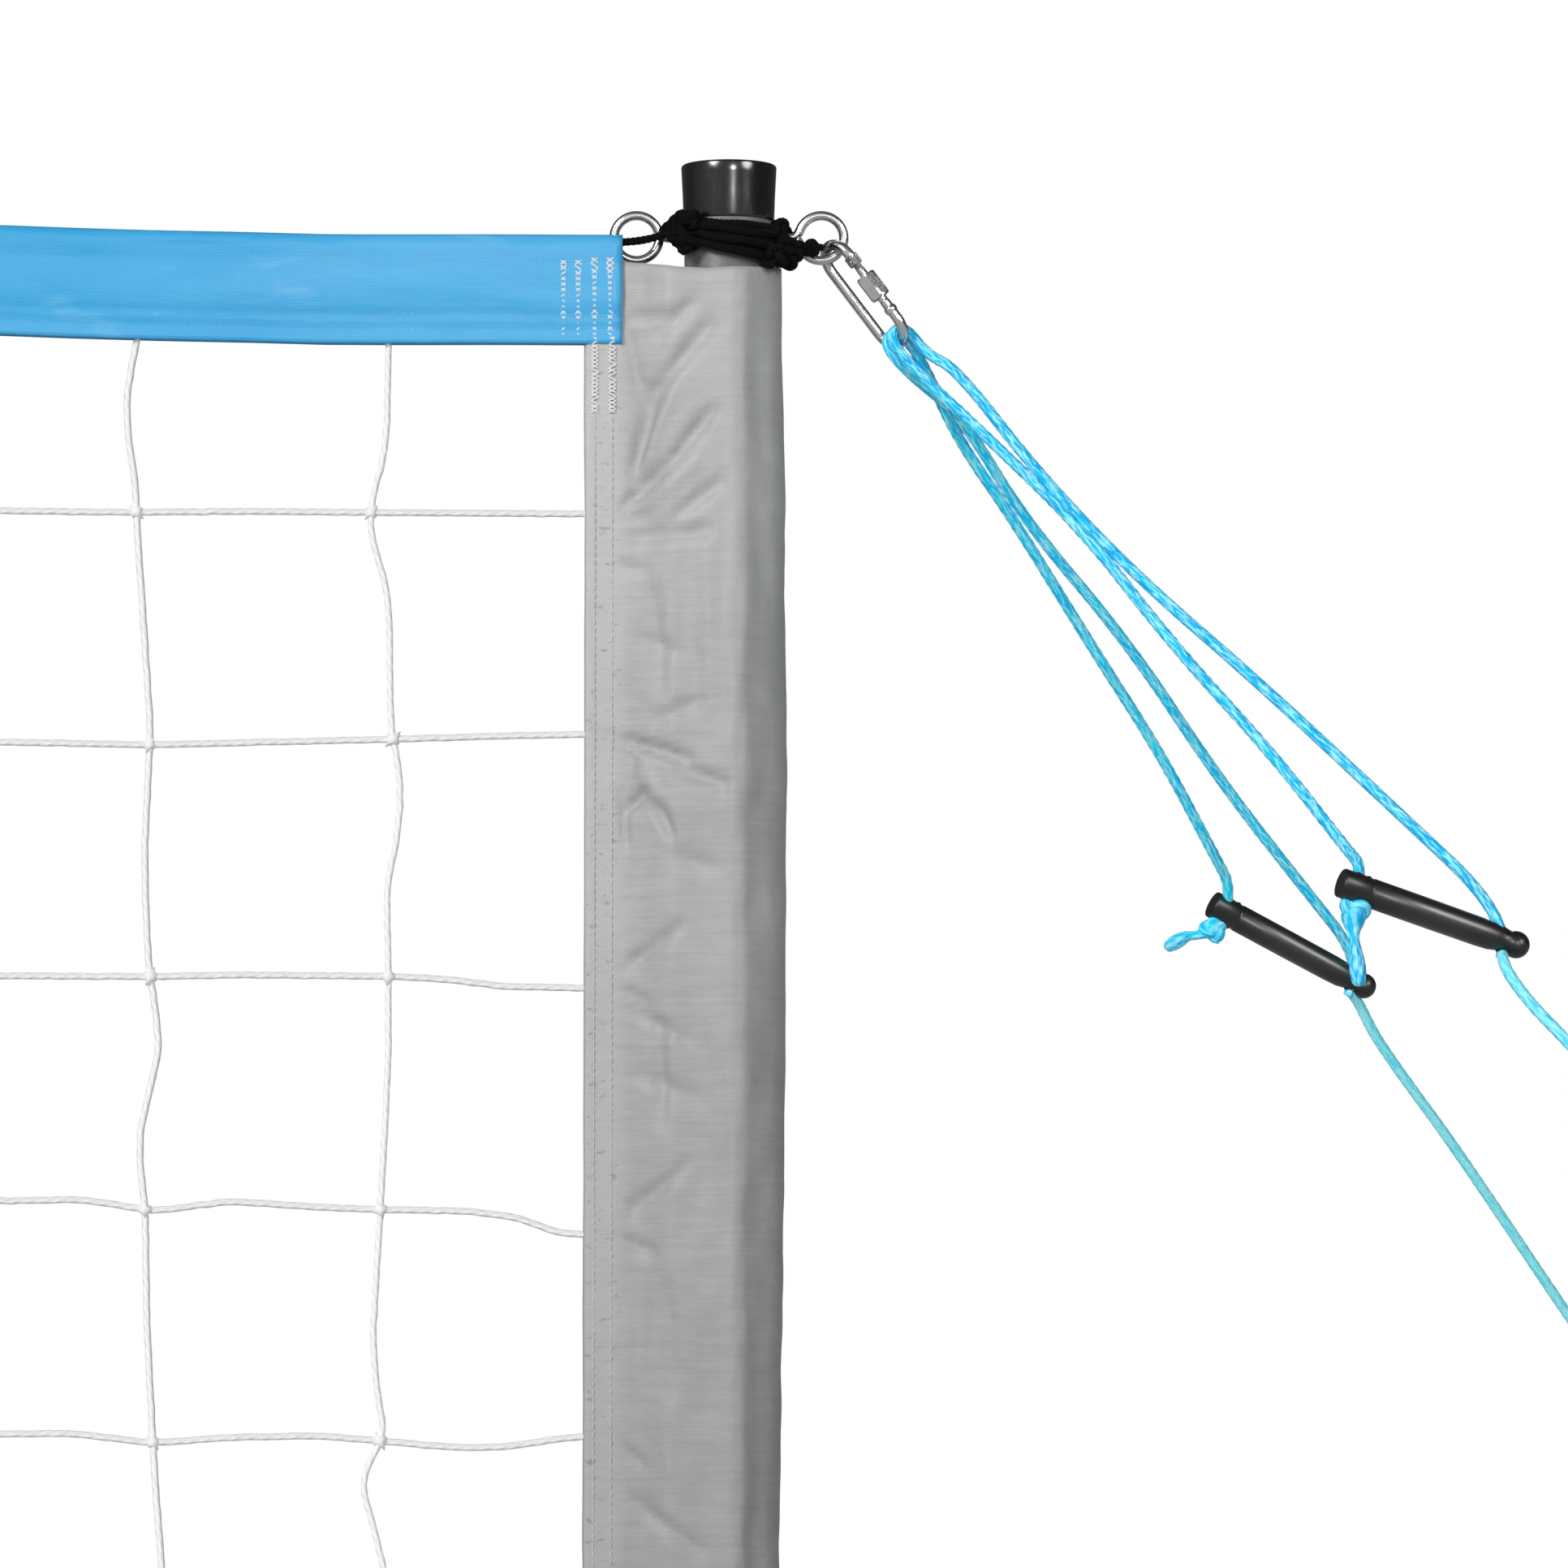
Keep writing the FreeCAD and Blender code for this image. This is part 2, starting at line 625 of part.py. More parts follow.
# Net and cloth
def sleeve_outline(swell, grow):
    """Teardrop round the pole that narrows to the flat hem at the net side."""
    r = UPPER_R + swell + grow
    hem = 2.7 if grow > 0.5 else 1.6
    end = -61.6 if grow > 0.5 else -66.0
    points = [V(end, NET_Y + hem, 0), V(-45.5, NET_Y + hem, 0), V(-37.0, NET_Y + hem + 1.6, 0),
              V(-27.0, NET_Y + hem + 7.5 + 0.4 * swell, 0)]
    for k in range(19):
        t = math.radians(126 - 14 * k)
        points.append(V(r * math.cos(t), r * math.sin(t), 0))
    points += [V(-25.0, NET_Y - hem - 8.2 - 0.4 * swell, 0), V(-37.0, NET_Y - hem - 2.4, 0),
               V(-45.5, NET_Y - hem, 0), V(end, NET_Y - hem, 0)]
    return Part.makePolygon(points + [points[0]])


SLEEVE_TOP = TAPE_TOP - 17.5
SLEEVE_SWELL = [(NET_BOTTOM + 8.0, 3.0), (1480.0, 2.0), (1660.0, 1.4), (1850.0, 3.4),
                (2010.0, 4.7), (2130.0, 3.4), (SLEEVE_TOP, 2.3)]


def side_sleeve():
    """Cloth pocket that slips down over the pole."""
    shells = []
    last = len(SLEEVE_SWELL) - 1
    for grow in (1.2, 0.0):
        wires = []
        for k, (z, swell) in enumerate(SLEEVE_SWELL):
            wire = sleeve_outline(swell, grow)
            past = {0: -2.0, last: 2.0}.get(k, 0.0) if grow == 0.0 else 0.0
            wire.translate(V(0, 0, z + past))
            wires.append(wire)
        shells.append(Part.makeLoft(wires, True, True))
    return shells[0].cut(shells[1])


def tape(top):
    """Band folded over the edge of the net."""
    out = 3.9
    wall = 1.0
    z = TAPE_TOP if top else NET_BOTTOM
    s = -1.0 if top else 1.0
    low = z + s * TAPE_HEIGHT
    profile = [(-out, low), (-out, z + s * 3.2), (-out + 1.2, z + s * 0.9), (-out + 2.6, z),
               (out - 2.6, z), (out - 1.2, z + s * 0.9), (out, z + s * 3.2), (out, low),
               (out - wall, low), (out - wall, z + s * 3.4), (out - wall - 1.4, z + s * 1.3),
               (-out + wall + 1.4, z + s * 1.3), (-out + wall, z + s * 3.4), (-out + wall, low)]
    x0 = -HALF + 45.3
    points = [V(x0, NET_Y + y, zz) for y, zz in profile]
    face = Part.Face(Part.makePolygon(points + [points[0]]))
    return face.extrude(V(2 * -x0, 0, 0))


CORD_IN_TAPE = 3.3


def edge_cord(top):
    z = TAPE_TOP - CORD_IN_TAPE if top else NET_BOTTOM + CORD_IN_TAPE
    x0 = -HALF + 46.0
    return Part.makeCylinder(1.5, -2 * x0, V(x0, NET_Y, z), V(1, 0, 0))


def net_mesh():
    """Knotted square mesh as one flat grille; it keeps every third twine of the real net."""
    x0 = -HALF - FIRST_COLUMN
    t = TWINE
    width = -2 * x0
    across = TWINES_PER_BAR * round(width / (TWINES_PER_BAR * MESH_COLUMN))
    columns = max(TWINES_PER_BAR, across)
    rows = 9
    height = rows * MESH_ROW
    z0 = FIRST_ROW - height
    outer = Part.makePlane(width + t, height + t, V(x0 - t / 2, NET_Y + t / 2, z0 - t / 2),
                           V(0, -1, 0), V(1, 0, 0))
    box = outer.BoundBox
    wires = []
    step_x = TWINES_PER_BAR * width / columns
    step_z = TWINES_PER_BAR * MESH_ROW
    for i in range(columns // TWINES_PER_BAR):
        for j in range(rows // TWINES_PER_BAR):
            a = x0 + i * step_x + t / 2
            b = x0 + (i + 1) * step_x - t / 2
            c = z0 + j * step_z + t / 2
            d = z0 + (j + 1) * step_z - t / 2
            y = NET_Y + t / 2
            wires.append(Part.makePolygon([V(a, y, c), V(b, y, c), V(b, y, d), V(a, y, d),
                                           V(a, y, c)]))
    y = NET_Y + t / 2
    rim = Part.makePolygon([V(x0 - t / 2, y, z0 - t / 2), V(x0 + width + t / 2, y, z0 - t / 2),
                            V(x0 + width + t / 2, y, z0 + height + t / 2),
                            V(x0 - t / 2, y, z0 + height + t / 2), V(x0 - t / 2, y, z0 - t / 2)])
    face = Part.Face([rim] + wires)
    face.validate()
    return face.extrude(V(0, -t, 0))


def closed_loop(points):
    return [Part.makeLine(a, b) for a, b in zip(points, points[1:] + points[:1])]


def pole_turn(z, slope, r_clear=21.5):
    """One flat turn of cord round the pole; slope tips it down towards the guy side."""
    corner = r_clear / math.cos(math.pi / 14)
    points = []
    for k in range(14):
        t = 2 * math.pi * (k + 0.5) / 14
        x = corner * math.cos(t)
        points.append(V(x, corner * math.sin(t), z - slope * x))
    return swept(closed_loop(points), TIE_CORD / 2, 6)


def head_tie():
    """Cord from the tape to a knot, three turns round the pole and one on the guy eye's neck."""
    turns = [pole_turn(EYE_Z + 5.3, 0.02), pole_turn(EYE_Z, 0.21), pole_turn(EYE_Z - 6.4, 0.11)]
    neck = []
    for k in range(8):
        t = math.radians(45 * k + 22.5)
        r = (EYE_WIRE / 2 + TIE_CORD / 2 + 0.25) / math.cos(math.pi / 8)
        neck.append(V(24.5, r * math.cos(t), EYE_Z + r * math.sin(t)))
    coil = swept(closed_loop(neck), TIE_CORD / 2, 6)
    knot = ball(6.0, V(-20.6, -14.2, EYE_Z - 0.1))
    route = rounded_route([V(-45.9, NET_Y, TAPE_TOP - CORD_IN_TAPE),
                           V(-33.0, NET_Y - 1.0, EYE_Z - 1.0), V(-20.6, -14.2, EYE_Z - 0.1)])
    tail = swept(route, 1.6, 6)
    return turns[0].fuse(turns[1:] + [coil, knot, tail]).removeSplitter()


def foot_tie():
    turns = [pole_turn(NET_BOTTOM - 5.0, 0.0), pole_turn(NET_BOTTOM - 9.0, 0.03)]
    knot = ball(5.2, V(-19.6, -14.0, NET_BOTTOM - 7.0))
    route = rounded_route([V(-45.9, NET_Y, NET_BOTTOM + CORD_IN_TAPE),
                           V(-39.5, NET_Y - 1.0, NET_BOTTOM - 1.5),
                           V(-30.0, NET_Y - 3.0, NET_BOTTOM - 6.0),
                           V(-19.6, -14.0, NET_BOTTOM - 7.0)])
    tail = swept(route, 1.6, 6)
    return turns[0].fuse(turns[1:] + [knot, tail]).removeSplitter()


# Write every piece
for side in ("left", "right"):
    pieces = {
        "pole_upper": pole_upper(), "pole_middle": pole_middle(), "pole_base": pole_base(),
        "pole_foot": foot(), "slide_bush": slide_bush(), "guide_ring": guide_ring(),
        "lock_collar": lock_collar(), "top_cap": top_cap(), "barrel_nut": barrel_nut(),
        "net_eye": eye_bolt(-1), "guy_eye": eye_bolt(1), "link_hook": link_hook(),
        "link_gate": link_gate(), "link_pin": link_pin(), "link_nut": link_nut(),
        "side_sleeve": side_sleeve(), "head_tie": head_tie(), "foot_tie": foot_tie(),
    }
    for which in ("front", "back"):
        loop = guy_loop(which).fuse(stopper_knot(which))
        pieces["guy_loop_" + which] = loop
        pieces["guy_line_" + which] = guy_line(which)
        pieces["slider_" + which] = slider(which)
        pieces["stake_" + which] = stake(which)
    for name, shape in pieces.items():
        write(place(shape, side), side + "_" + name)

write(tape(True), "head_tape")
write(tape(False), "foot_tape")
write(edge_cord(True), "head_cord")
write(edge_cord(False), "foot_cord")
write(net_mesh(), "net_mesh")
print("hinge of the guy set", EYE_CENTRE, "link top", LINK_TOP, "gate pin",
      link_point(HINGE_AT, LINK_LEG), "normal", LINK_NORMAL, "pull", PULL)
for which in ("front", "back"):
    print(which, "slider start", slider_point(which, 0), "lower hole",
          slider_point(which, LOWER_HOLE_AT), "line end", line_end(which))
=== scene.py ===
import math

import bmesh
import bpy
import numpy as np
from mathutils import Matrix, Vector, noise


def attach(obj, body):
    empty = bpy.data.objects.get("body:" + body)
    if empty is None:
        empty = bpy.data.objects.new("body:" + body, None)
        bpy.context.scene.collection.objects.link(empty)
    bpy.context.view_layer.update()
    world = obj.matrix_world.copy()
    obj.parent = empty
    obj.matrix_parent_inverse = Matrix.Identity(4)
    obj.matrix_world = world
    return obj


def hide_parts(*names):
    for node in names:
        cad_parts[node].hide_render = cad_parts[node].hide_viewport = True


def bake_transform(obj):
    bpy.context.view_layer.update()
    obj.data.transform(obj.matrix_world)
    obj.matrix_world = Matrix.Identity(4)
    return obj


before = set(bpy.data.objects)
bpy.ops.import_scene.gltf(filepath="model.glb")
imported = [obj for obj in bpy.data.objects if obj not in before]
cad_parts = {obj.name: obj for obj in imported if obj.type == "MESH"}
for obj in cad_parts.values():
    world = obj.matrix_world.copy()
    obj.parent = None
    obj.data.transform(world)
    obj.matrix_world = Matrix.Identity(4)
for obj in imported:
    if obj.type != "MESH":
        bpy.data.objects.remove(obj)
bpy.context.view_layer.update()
bpy.context.scene.view_settings.view_transform = "Standard"

# Sizes in mm. Shapes are drawn beside the right pole: its axis is at x = 0, the ground at z = 0.
HALF = 4876.8
SIDES = ("right", "left")
NET_Y = -7.0
TAPE_TOP = 2238.5
TAPE_HEIGHT = 46.5
NET_BOTTOM = 1311.0
MESH_COLUMN = 100.6
MESH_ROW = 98.3
COLUMNS = 96
ROWS = 9
FIRST_COLUMN = -48.0
FIRST_ROW = 2217.0
UPPER_R = 19.05
LOWER_R = 21.2
EYE_Z = 2237.6
EYE_X = 39.5
EYE_R = 9.7
ROPE = 4.8
TIE_CORD = 3.2
SLIDER_LENGTH = 85.0
SLIDER_R = 6.1
UPPER_HOLE_AT = 8.5
LOWER_HOLE_AT = 75.0
STAKE_X = 1700.0
STAKE_Y = 1650.0
STAKE_R = 3.6

TUBE_TOP = 2244.5
WALL = 1.6
RIM_R = 2.75
STAKE_LEAN = 18
TWINE_R = 1.45
TAPE_OUT = 3.9
FOLD = 4.2
TAPE_SEAMS = (34.0, 40.5)
ROOT = "net_and_upper_poles"
WAYS = ("front", "back")


# Camera
camera = bpy.data.objects.new("camera", bpy.data.cameras.new("camera"))
bpy.context.scene.collection.objects.link(camera)
camera.location = (HALF / 1000 + 0.0236, -4.5, 1.570)
camera.rotation_euler = (math.radians(90 + 5.496), 0, 0)
camera.data.lens = 243.8
camera.data.sensor_width = 36
camera.data.clip_start = 0.05
camera.data.clip_end = 500
bpy.context.scene.camera = camera


# Finishes
class Value:
    """A number or colour in a finish's node tree, with plain arithmetic for numbers."""

    def __init__(self, nodes, socket):
        self.nodes = nodes
        self.socket = socket

    def maths(self, operation, first, second):
        return self.nodes.node("Math", {"operation": operation}, {0: first, 1: second})

    def __add__(self, other):
        return self.maths("ADD", self, other)

    def __mul__(self, other):
        return self.maths("MULTIPLY", self, other)

    def __rsub__(self, other):
        return self.maths("SUBTRACT", other, self)

    __radd__ = __add__
    __rmul__ = __mul__


class Nodes:
    """Makes the nodes of a shader tree from their settings and inputs."""

    def __init__(self, tree):
        self.tree = tree
        tree.nodes.clear()

    def feed(self, socket, value):
        if isinstance(value, Value):
            self.tree.links.new(value.socket, socket)
        elif isinstance(value, tuple) and len(value) == 3 and len(socket.default_value) == 4:
            socket.default_value = (*value, 1.0)
        else:
            socket.default_value = value

    def node(self, kind, settings=None, inputs=None, output=0):
        made = self.tree.nodes.new("ShaderNode" + kind)
        for key, value in (settings or {}).items():
            setattr(made, key, value)
        for key, value in (inputs or {}).items():
            self.feed(made.inputs[key], value)
        return Value(self, made.outputs[output]) if made.outputs else made

    def ramp(self, value, *stops):
        """Greys at places between 0 and 1."""
        made = self.node("ValToRGB", None, {"Fac": value})
        points = made.socket.node.color_ramp.elements
        while len(points) < len(stops):
            points.new(0.5)
        for point, (at, grey) in zip(points, stops):
            point.position = at
            point.color = (grey, grey, grey, 1.0)
        return made


class Finish(Nodes):
    """A material of one principled surface, built from expressions."""

    def __init__(self, name, **fixed):
        self.material = bpy.data.materials.new(name)
        self.material.use_nodes = True
        super().__init__(self.material.node_tree)
        self.surface = self.tree.nodes.new("ShaderNodeBsdfPrincipled")
        self.shown = self.node("OutputMaterial")
        self.show(Value(self, self.surface.outputs[0]))
        for key, value in fixed.items():
            self.set(key.replace("_", " ").title().replace("Ior", "IOR"), value)

    def show(self, shader):
        self.feed(self.shown.inputs["Surface"], shader)

    def set(self, key, value):
        self.feed(self.surface.inputs[key], value)

    def place(self, scale=(1, 1, 1)):
        spot = self.node("TexCoord", output="Object")
        return self.node("Mapping", inputs={"Vector": spot, "Scale": scale})

    def run(self):
        """Across and along the piece's own surface, in metres along."""
        both = self.node("UVMap", {"uv_map": "run"})
        return (self.node("SeparateXYZ", inputs={"Vector": both}, output="X"),
                self.node("SeparateXYZ", inputs={"Vector": both}, output="Y"))

    def wave(self, value, kind="SINE"):
        return self.node("Math", {"operation": kind}, {0: value})

    def coil(self, reach, turns, stretch, start=0.0):
        """A place on a cord that closes round it and winds along it."""
        u, v = self.run()
        angle = (u + v * turns) * (2 * math.pi)
        return self.join(self.wave(angle, "COSINE") * reach + start, self.wave(angle) * reach,
                         v * stretch)

    def join(self, x, y, z=0.0):
        return self.node("CombineXYZ", inputs={"X": x, "Y": y, "Z": z})

    def grain(self, scale, detail, vector=None):
        return self.node("TexNoise", None, {"Vector": vector or self.place(), "Scale": scale,
                                            "Detail": detail, "Roughness": 0.55})

    def own(self, name):
        """A number kept at each point of the piece."""
        return self.node("Attribute", {"attribute_name": name}, output="Fac")

    def blend(self, share, low, high):
        return self.node("Mix", {"data_type": "RGBA"}, {0: share, 6: low, 7: high}, output=2)

    def bump(self, height, distance, strength=1.0, under=None):
        inputs = {"Height": height, "Distance": distance, "Strength": strength}
        if under:
            inputs["Normal"] = under
        return self.node("Bump", inputs=inputs)


def black_gloss():
    f = Finish("gloss_black_plastic", ior=1.5, specular_ior_level=0.75)
    cloud = f.grain(60, 4)
    f.set("Base Color", f.blend(cloud, (0.0030, 0.0030, 0.0031), (0.0058, 0.0058, 0.0060)))
    scuffs = f.grain(900, 2, f.place((1, 1, 0.12)))
    f.set("Roughness", 0.15 + 0.06 * cloud + 0.08 * f.ramp(scuffs, (0.55, 0), (0.75, 1)))
    f.set("Normal", f.bump(f.grain(420, 3), 0.00001))
    return f.material


def black_satin(name, base, rough, grain, shine=0.5, rubbed=False):
    f = Finish(name, specular_ior_level=shine, coat_roughness=0.30)
    cloud = f.grain(90, 4)
    if rubbed:
        middle = f.ramp(f.run()[1] * 10, (0.12, 0.0), (0.40, 1.0), (0.58, 1.0), (0.80, 0.0))
        f.set("Coat Weight", 0.55 * middle)
    f.set("Base Color", f.blend(cloud, (base * 0.8, base * 0.8, base * 0.82),
                                (base * 1.5, base * 1.5, base * 1.5)))
    f.set("Roughness", rough - 0.05 + 0.14 * cloud)
    f.set("Normal", f.bump(f.grain(grain, 2), 0.00002))
    return f.material


def pole_paint():
    f = Finish("dark_pole_paint", coat_weight=0.25, coat_roughness=0.12)
    cloud = f.grain(25, 5)
    f.set("Base Color", f.blend(cloud, (0.150, 0.151, 0.153), (0.190, 0.191, 0.194)))
    f.set("Roughness", 0.30 + 0.12 * cloud)
    f.set("Normal", f.bump(f.grain(520, 2), 0.00010))
    return f.material


def steel(name, tone, rough, brushed=1.0):
    f = Finish(name, specular_tint=(0.30, 0.30, 0.31))
    cloud = f.grain(160, 4)
    f.set("Metallic", 1.0)
    f.set("Base Color", f.blend(f.ramp(cloud, (0.3, 0), (0.7, 1)),
                                (tone * 0.82, tone * 0.82, tone * 0.84), (tone, tone, tone)))
    pits = f.ramp(f.grain(1400, 2), (0.62, 0), (0.70, 1))
    f.set("Roughness", rough + 0.07 * cloud + 0.08 * pits)
    f.set("Normal", f.bump(f.grain(700, 3) + 0.6 * pits, 0.000008 * brushed))
    return f.material


def rope_blue(name, pale_share, low, high):
    """Solid braid with long pale flecks that cross the rope; painted shade makes the grooves darker
    and keeps the flecks off them.
    """
    f = Finish(name, roughness=0.6, specular_ior_level=0.25, sheen_weight=0.05, sheen_roughness=0.4)
    relief = f.own("relief")
    flecks = f.grain(1.0, 0, f.coil(2.2, 7, 130))
    crossed = f.grain(1.0, 0, f.coil(2.2, -7, 130, 5.0))
    long_lines = f.grain(1.0, 1, f.coil(2.0, 5, 55, 9.0))
    # Painted shade: where the relief is low, in the grooves between strands, the blue is darker.
    body = f.blend(0.30 * relief + 0.9 * f.ramp(long_lines, (0.40, 0), (0.60, 1)), low, high)
    pale = f.ramp(flecks, (0.52, 0), (0.60, 1)) + f.ramp(crossed, (0.52, 0), (0.60, 1))
    # Painted shade: the pale flecks fade out in the grooves.
    share = pale_share * pale * (0.35 + 0.65 * relief)
    f.set("Base Color", f.blend(share, body, (0.36, 0.92, 1.0)))
    fibres = f.grain(1.0, 2, f.coil(4.5, 60, 130, 2.0))
    f.set("Normal", f.bump(fibres, 0.00022))
    return f.material


def black_cord():
    f = Finish("black_cord", roughness=0.9, specular_ior_level=0.12)
    relief = f.own("relief")
    fuzz = f.grain(900, 3)
    # Painted shade: the grooves, where the relief is low, are darker; the fuzz varies the tone at
    # random.
    f.set("Base Color", f.blend(relief * fuzz, (0.0006, 0.0006, 0.0006), (0.0048, 0.0048, 0.0049)))
    f.set("Normal", f.bump(f.grain(2200, 3), 0.0006))
    return f.material


def twine_white():
    f = Finish("white_twine", roughness=0.75)
    twist = f.wave((f.own("around") * 2 + f.own("along") * 160) * (2 * math.pi))
    fluff = f.grain(1200, 2)
    f.set("Base Color", f.blend(0.5 + 0.5 * twist, (0.78, 0.78, 0.78), (0.87, 0.87, 0.87)))
    f.set("Normal", f.bump(0.4 * twist + fluff, 0.00022))
    return f.material


def coated_grey():
    """Coated woven cloth: fine uneven level ribs, smears in the coating, soil lower down, and a hem
    band painted lighter as painted light.
    """
    f = Finish("grey_coated_cloth", specular_ior_level=0.42, coat_weight=0.06, coat_roughness=0.35)
    u, v = f.run()
    ribs = f.wave(v * (2 * math.pi / 0.0011))
    weft = f.wave(u * (2 * math.pi / 0.0014))
    slubs = f.grain(1.0, 3, f.join(u * 26, v * 560))
    smears = f.grain(1.0, 4, f.join(u * 60, v * 190))
    cloud = f.grain(14, 5)
    tone = 0.34 * slubs + 0.28 * smears + 0.38 * cloud
    clean = f.ramp(v, (0.30, 0.67), (0.80, 1.0))
    body = f.blend(tone, (0.245, 0.245, 0.246), (0.520, 0.520, 0.520))
    # Painted light: the flat hem band is painted lighter, standing in for the more light it gets
    # facing the lamps.
    hem = f.ramp(u, (0.0, 1.0), (0.0152, 1.0), (0.0160, 0.0), (0.30, 0.0))
    body = f.blend(0.34 * hem, body, (0.62, 0.62, 0.62))
    dashes = f.grain(1.0, 2, f.join(u * 190, v * 330))
    dots = hem * f.ramp(dashes, (0.62, 0), (0.70, 1))
    body = f.blend(0.45 * dots, body, (0.16, 0.16, 0.16))
    f.set("Base Color", f.blend(1 - clean, body, (0.0, 0.0, 0.0)))
    f.set("Roughness", 0.43 + 0.14 * cloud + 0.10 * smears)
    weave = ribs * (0.3 + 0.9 * slubs) + 0.25 * weft
    soft = f.bump(f.grain(60, 4, f.place((1, 1, 0.8))), 0.0020, 0.6)
    smear = f.bump(smears, 0.00045, 0.5, soft)
    f.set("Normal", f.bump(weave, 0.00006, 0.35, smear))
    return f.material


def coated_blue():
    """Coated tape: smooth film over a fine weave, with soft creases and worn, paler places."""
    f = Finish("blue_coated_tape", specular_ior_level=0.35, coat_weight=0.12, coat_roughness=0.25)
    u, v = f.run()
    cloud = f.grain(22, 5, f.place((0.6, 1, 1)))
    band = f.ramp(f.grain(9, 3, f.place((0.5, 1, 3.0))), (0.40, 0), (0.62, 1))
    body = f.blend(cloud, (0.010, 0.300, 0.640), (0.042, 0.395, 0.725))
    worn = f.ramp(f.grain(60, 5, f.place((0.4, 1, 1.6))), (0.60, 0), (0.78, 1))
    ends = f.ramp(v, (9.622, 0.0), (9.634, 1.0))
    rubbed = f.ramp(f.grain(150, 4), (0.42, 0), (0.60, 1)) * ends
    faded = f.ramp(v, (9.40, 1.0), (9.60, 0.0))
    share = 0.30 * worn + 0.14 * band + 0.34 * rubbed + 0.05 * faded
    f.set("Base Color", f.blend(share, body, (0.27, 0.62, 0.86)))
    f.set("Roughness", 0.30 + 0.22 * cloud)
    threads = f.wave(u * (2 * math.pi / 0.0013)) + f.wave(v * (2 * math.pi / 0.0013))
    soft = f.bump(f.grain(38, 4, f.place((0.45, 1, 1.5))), 0.0020, 0.5)
    f.set("Normal", f.bump(threads, 0.00003, 0.4, soft))
    return f.material


def plain(name, colour, rough):
    f = Finish(name)
    cloud = f.grain(300, 3)
    f.set("Base Color", f.blend(cloud, tuple(c * 0.8 for c in colour), colour))
    f.set("Roughness", rough + 0.1 * cloud)
    f.set("Normal", f.bump(f.grain(2500, 2), 0.0001))
    return f.material


# Surfaces
class Shape:
    """Faces in mm, with the run of the surface and its relief at each point."""

    def __init__(self, verts, faces, uvs, relief=None):
        self.verts = np.asarray(verts, float)
        self.faces = faces
        self.uvs = uvs
        self.relief = np.full(len(self.verts), 0.6) if relief is None else relief

    def outward(self):
        volume = 0.0
        for face in self.faces:
            a = self.verts[face[0]]
            for k in range(1, len(face) - 1):
                volume += np.dot(a, np.cross(self.verts[face[k]], self.verts[face[k + 1]]))
        if volume < 0:
            self.flip()
        return self

    def flip(self):
        self.faces = [tuple(reversed(f)) for f in self.faces]
        self.uvs = [tuple(reversed(f)) for f in self.uvs]
        return self


def together(*shapes):
    verts, faces, uvs, relief, base = [], [], [], [], 0
    for s in shapes:
        verts.append(s.verts)
        faces += [tuple(i + base for i in f) for f in s.faces]
        uvs += s.uvs
        relief.append(s.relief)
        base += len(s.verts)
    return Shape(np.vstack(verts), faces, uvs, np.concatenate(relief))


def grid(points, wrap=True, ring=False, across=None, along=None, caps=False, relief=None):
    """Faces over rows of points. wrap closes each row, ring joins the last row to the first."""
    points = np.asarray(points, float)
    rows, cols = points.shape[:2]
    across = np.linspace(0, 1, cols + 1 if wrap else cols) if across is None else across
    along = np.arange(rows + 1) / 1000.0 if along is None else along
    faces, uvs = [], []
    for i in range(rows if ring else rows - 1):
        n = (i + 1) % rows
        for j in range(cols if wrap else cols - 1):
            m = (j + 1) % cols
            faces.append((i * cols + j, i * cols + m, n * cols + m, n * cols + j))
            uvs.append(((across[j], along[i]), (across[j + 1], along[i]),
                        (across[j + 1], along[i + 1]), (across[j], along[i + 1])))
    if caps:
        for i, order in ((0, -1), (rows - 1, 1)):
            face = tuple(i * cols + j for j in range(cols))[::order]
            faces.append(face)
            uvs.append(tuple((across[j % cols], along[i]) for j in range(cols))[::order])
    return Shape(points.reshape(-1, 3), faces, uvs, None if relief is None else relief.ravel())


def unit(v):
    v = np.asarray(v, float)
    return v / np.linalg.norm(v)


def lengths(line):
    return np.concatenate([[0], np.cumsum(np.linalg.norm(np.diff(line, axis=0), axis=1))])


def even(line, step):
    """The same line at even steps."""
    line = np.asarray(line, float)
    s = lengths(line)
    n = max(2, int(round(s[-1] / step)) + 1)
    at = np.linspace(0, s[-1], n)
    return np.stack([np.interp(at, s, line[:, k]) for k in range(3)], axis=1)


def frames(line, closed=False):
    """A steady side and up at each point of a line."""
    if closed:
        way = np.roll(line, -1, axis=0) - np.roll(line, 1, axis=0)
    else:
        way = np.gradient(line, axis=0)
    way = way / np.linalg.norm(way, axis=1)[:, None]
    start = np.cross(way[0], (0, 0, 1) if abs(way[0][2]) < 0.9 else (1, 0, 0))
    side = [unit(start)]
    for t in way[1:]:
        side.append(unit(side[-1] - np.dot(side[-1], t) * t))
    side = np.array(side)
    up = np.cross(way, side)
    if closed:
        last = unit(side[-1] - np.dot(side[-1], way[0]) * way[0])
        turn = math.atan2(np.dot(last, up[0]), np.dot(last, side[0]))
        a = -turn * np.arange(len(line)) / len(line)
        side, up = (side * np.cos(a)[:, None] + up * np.sin(a)[:, None],
                    up * np.cos(a)[:, None] - side * np.sin(a)[:, None])
    return side, up


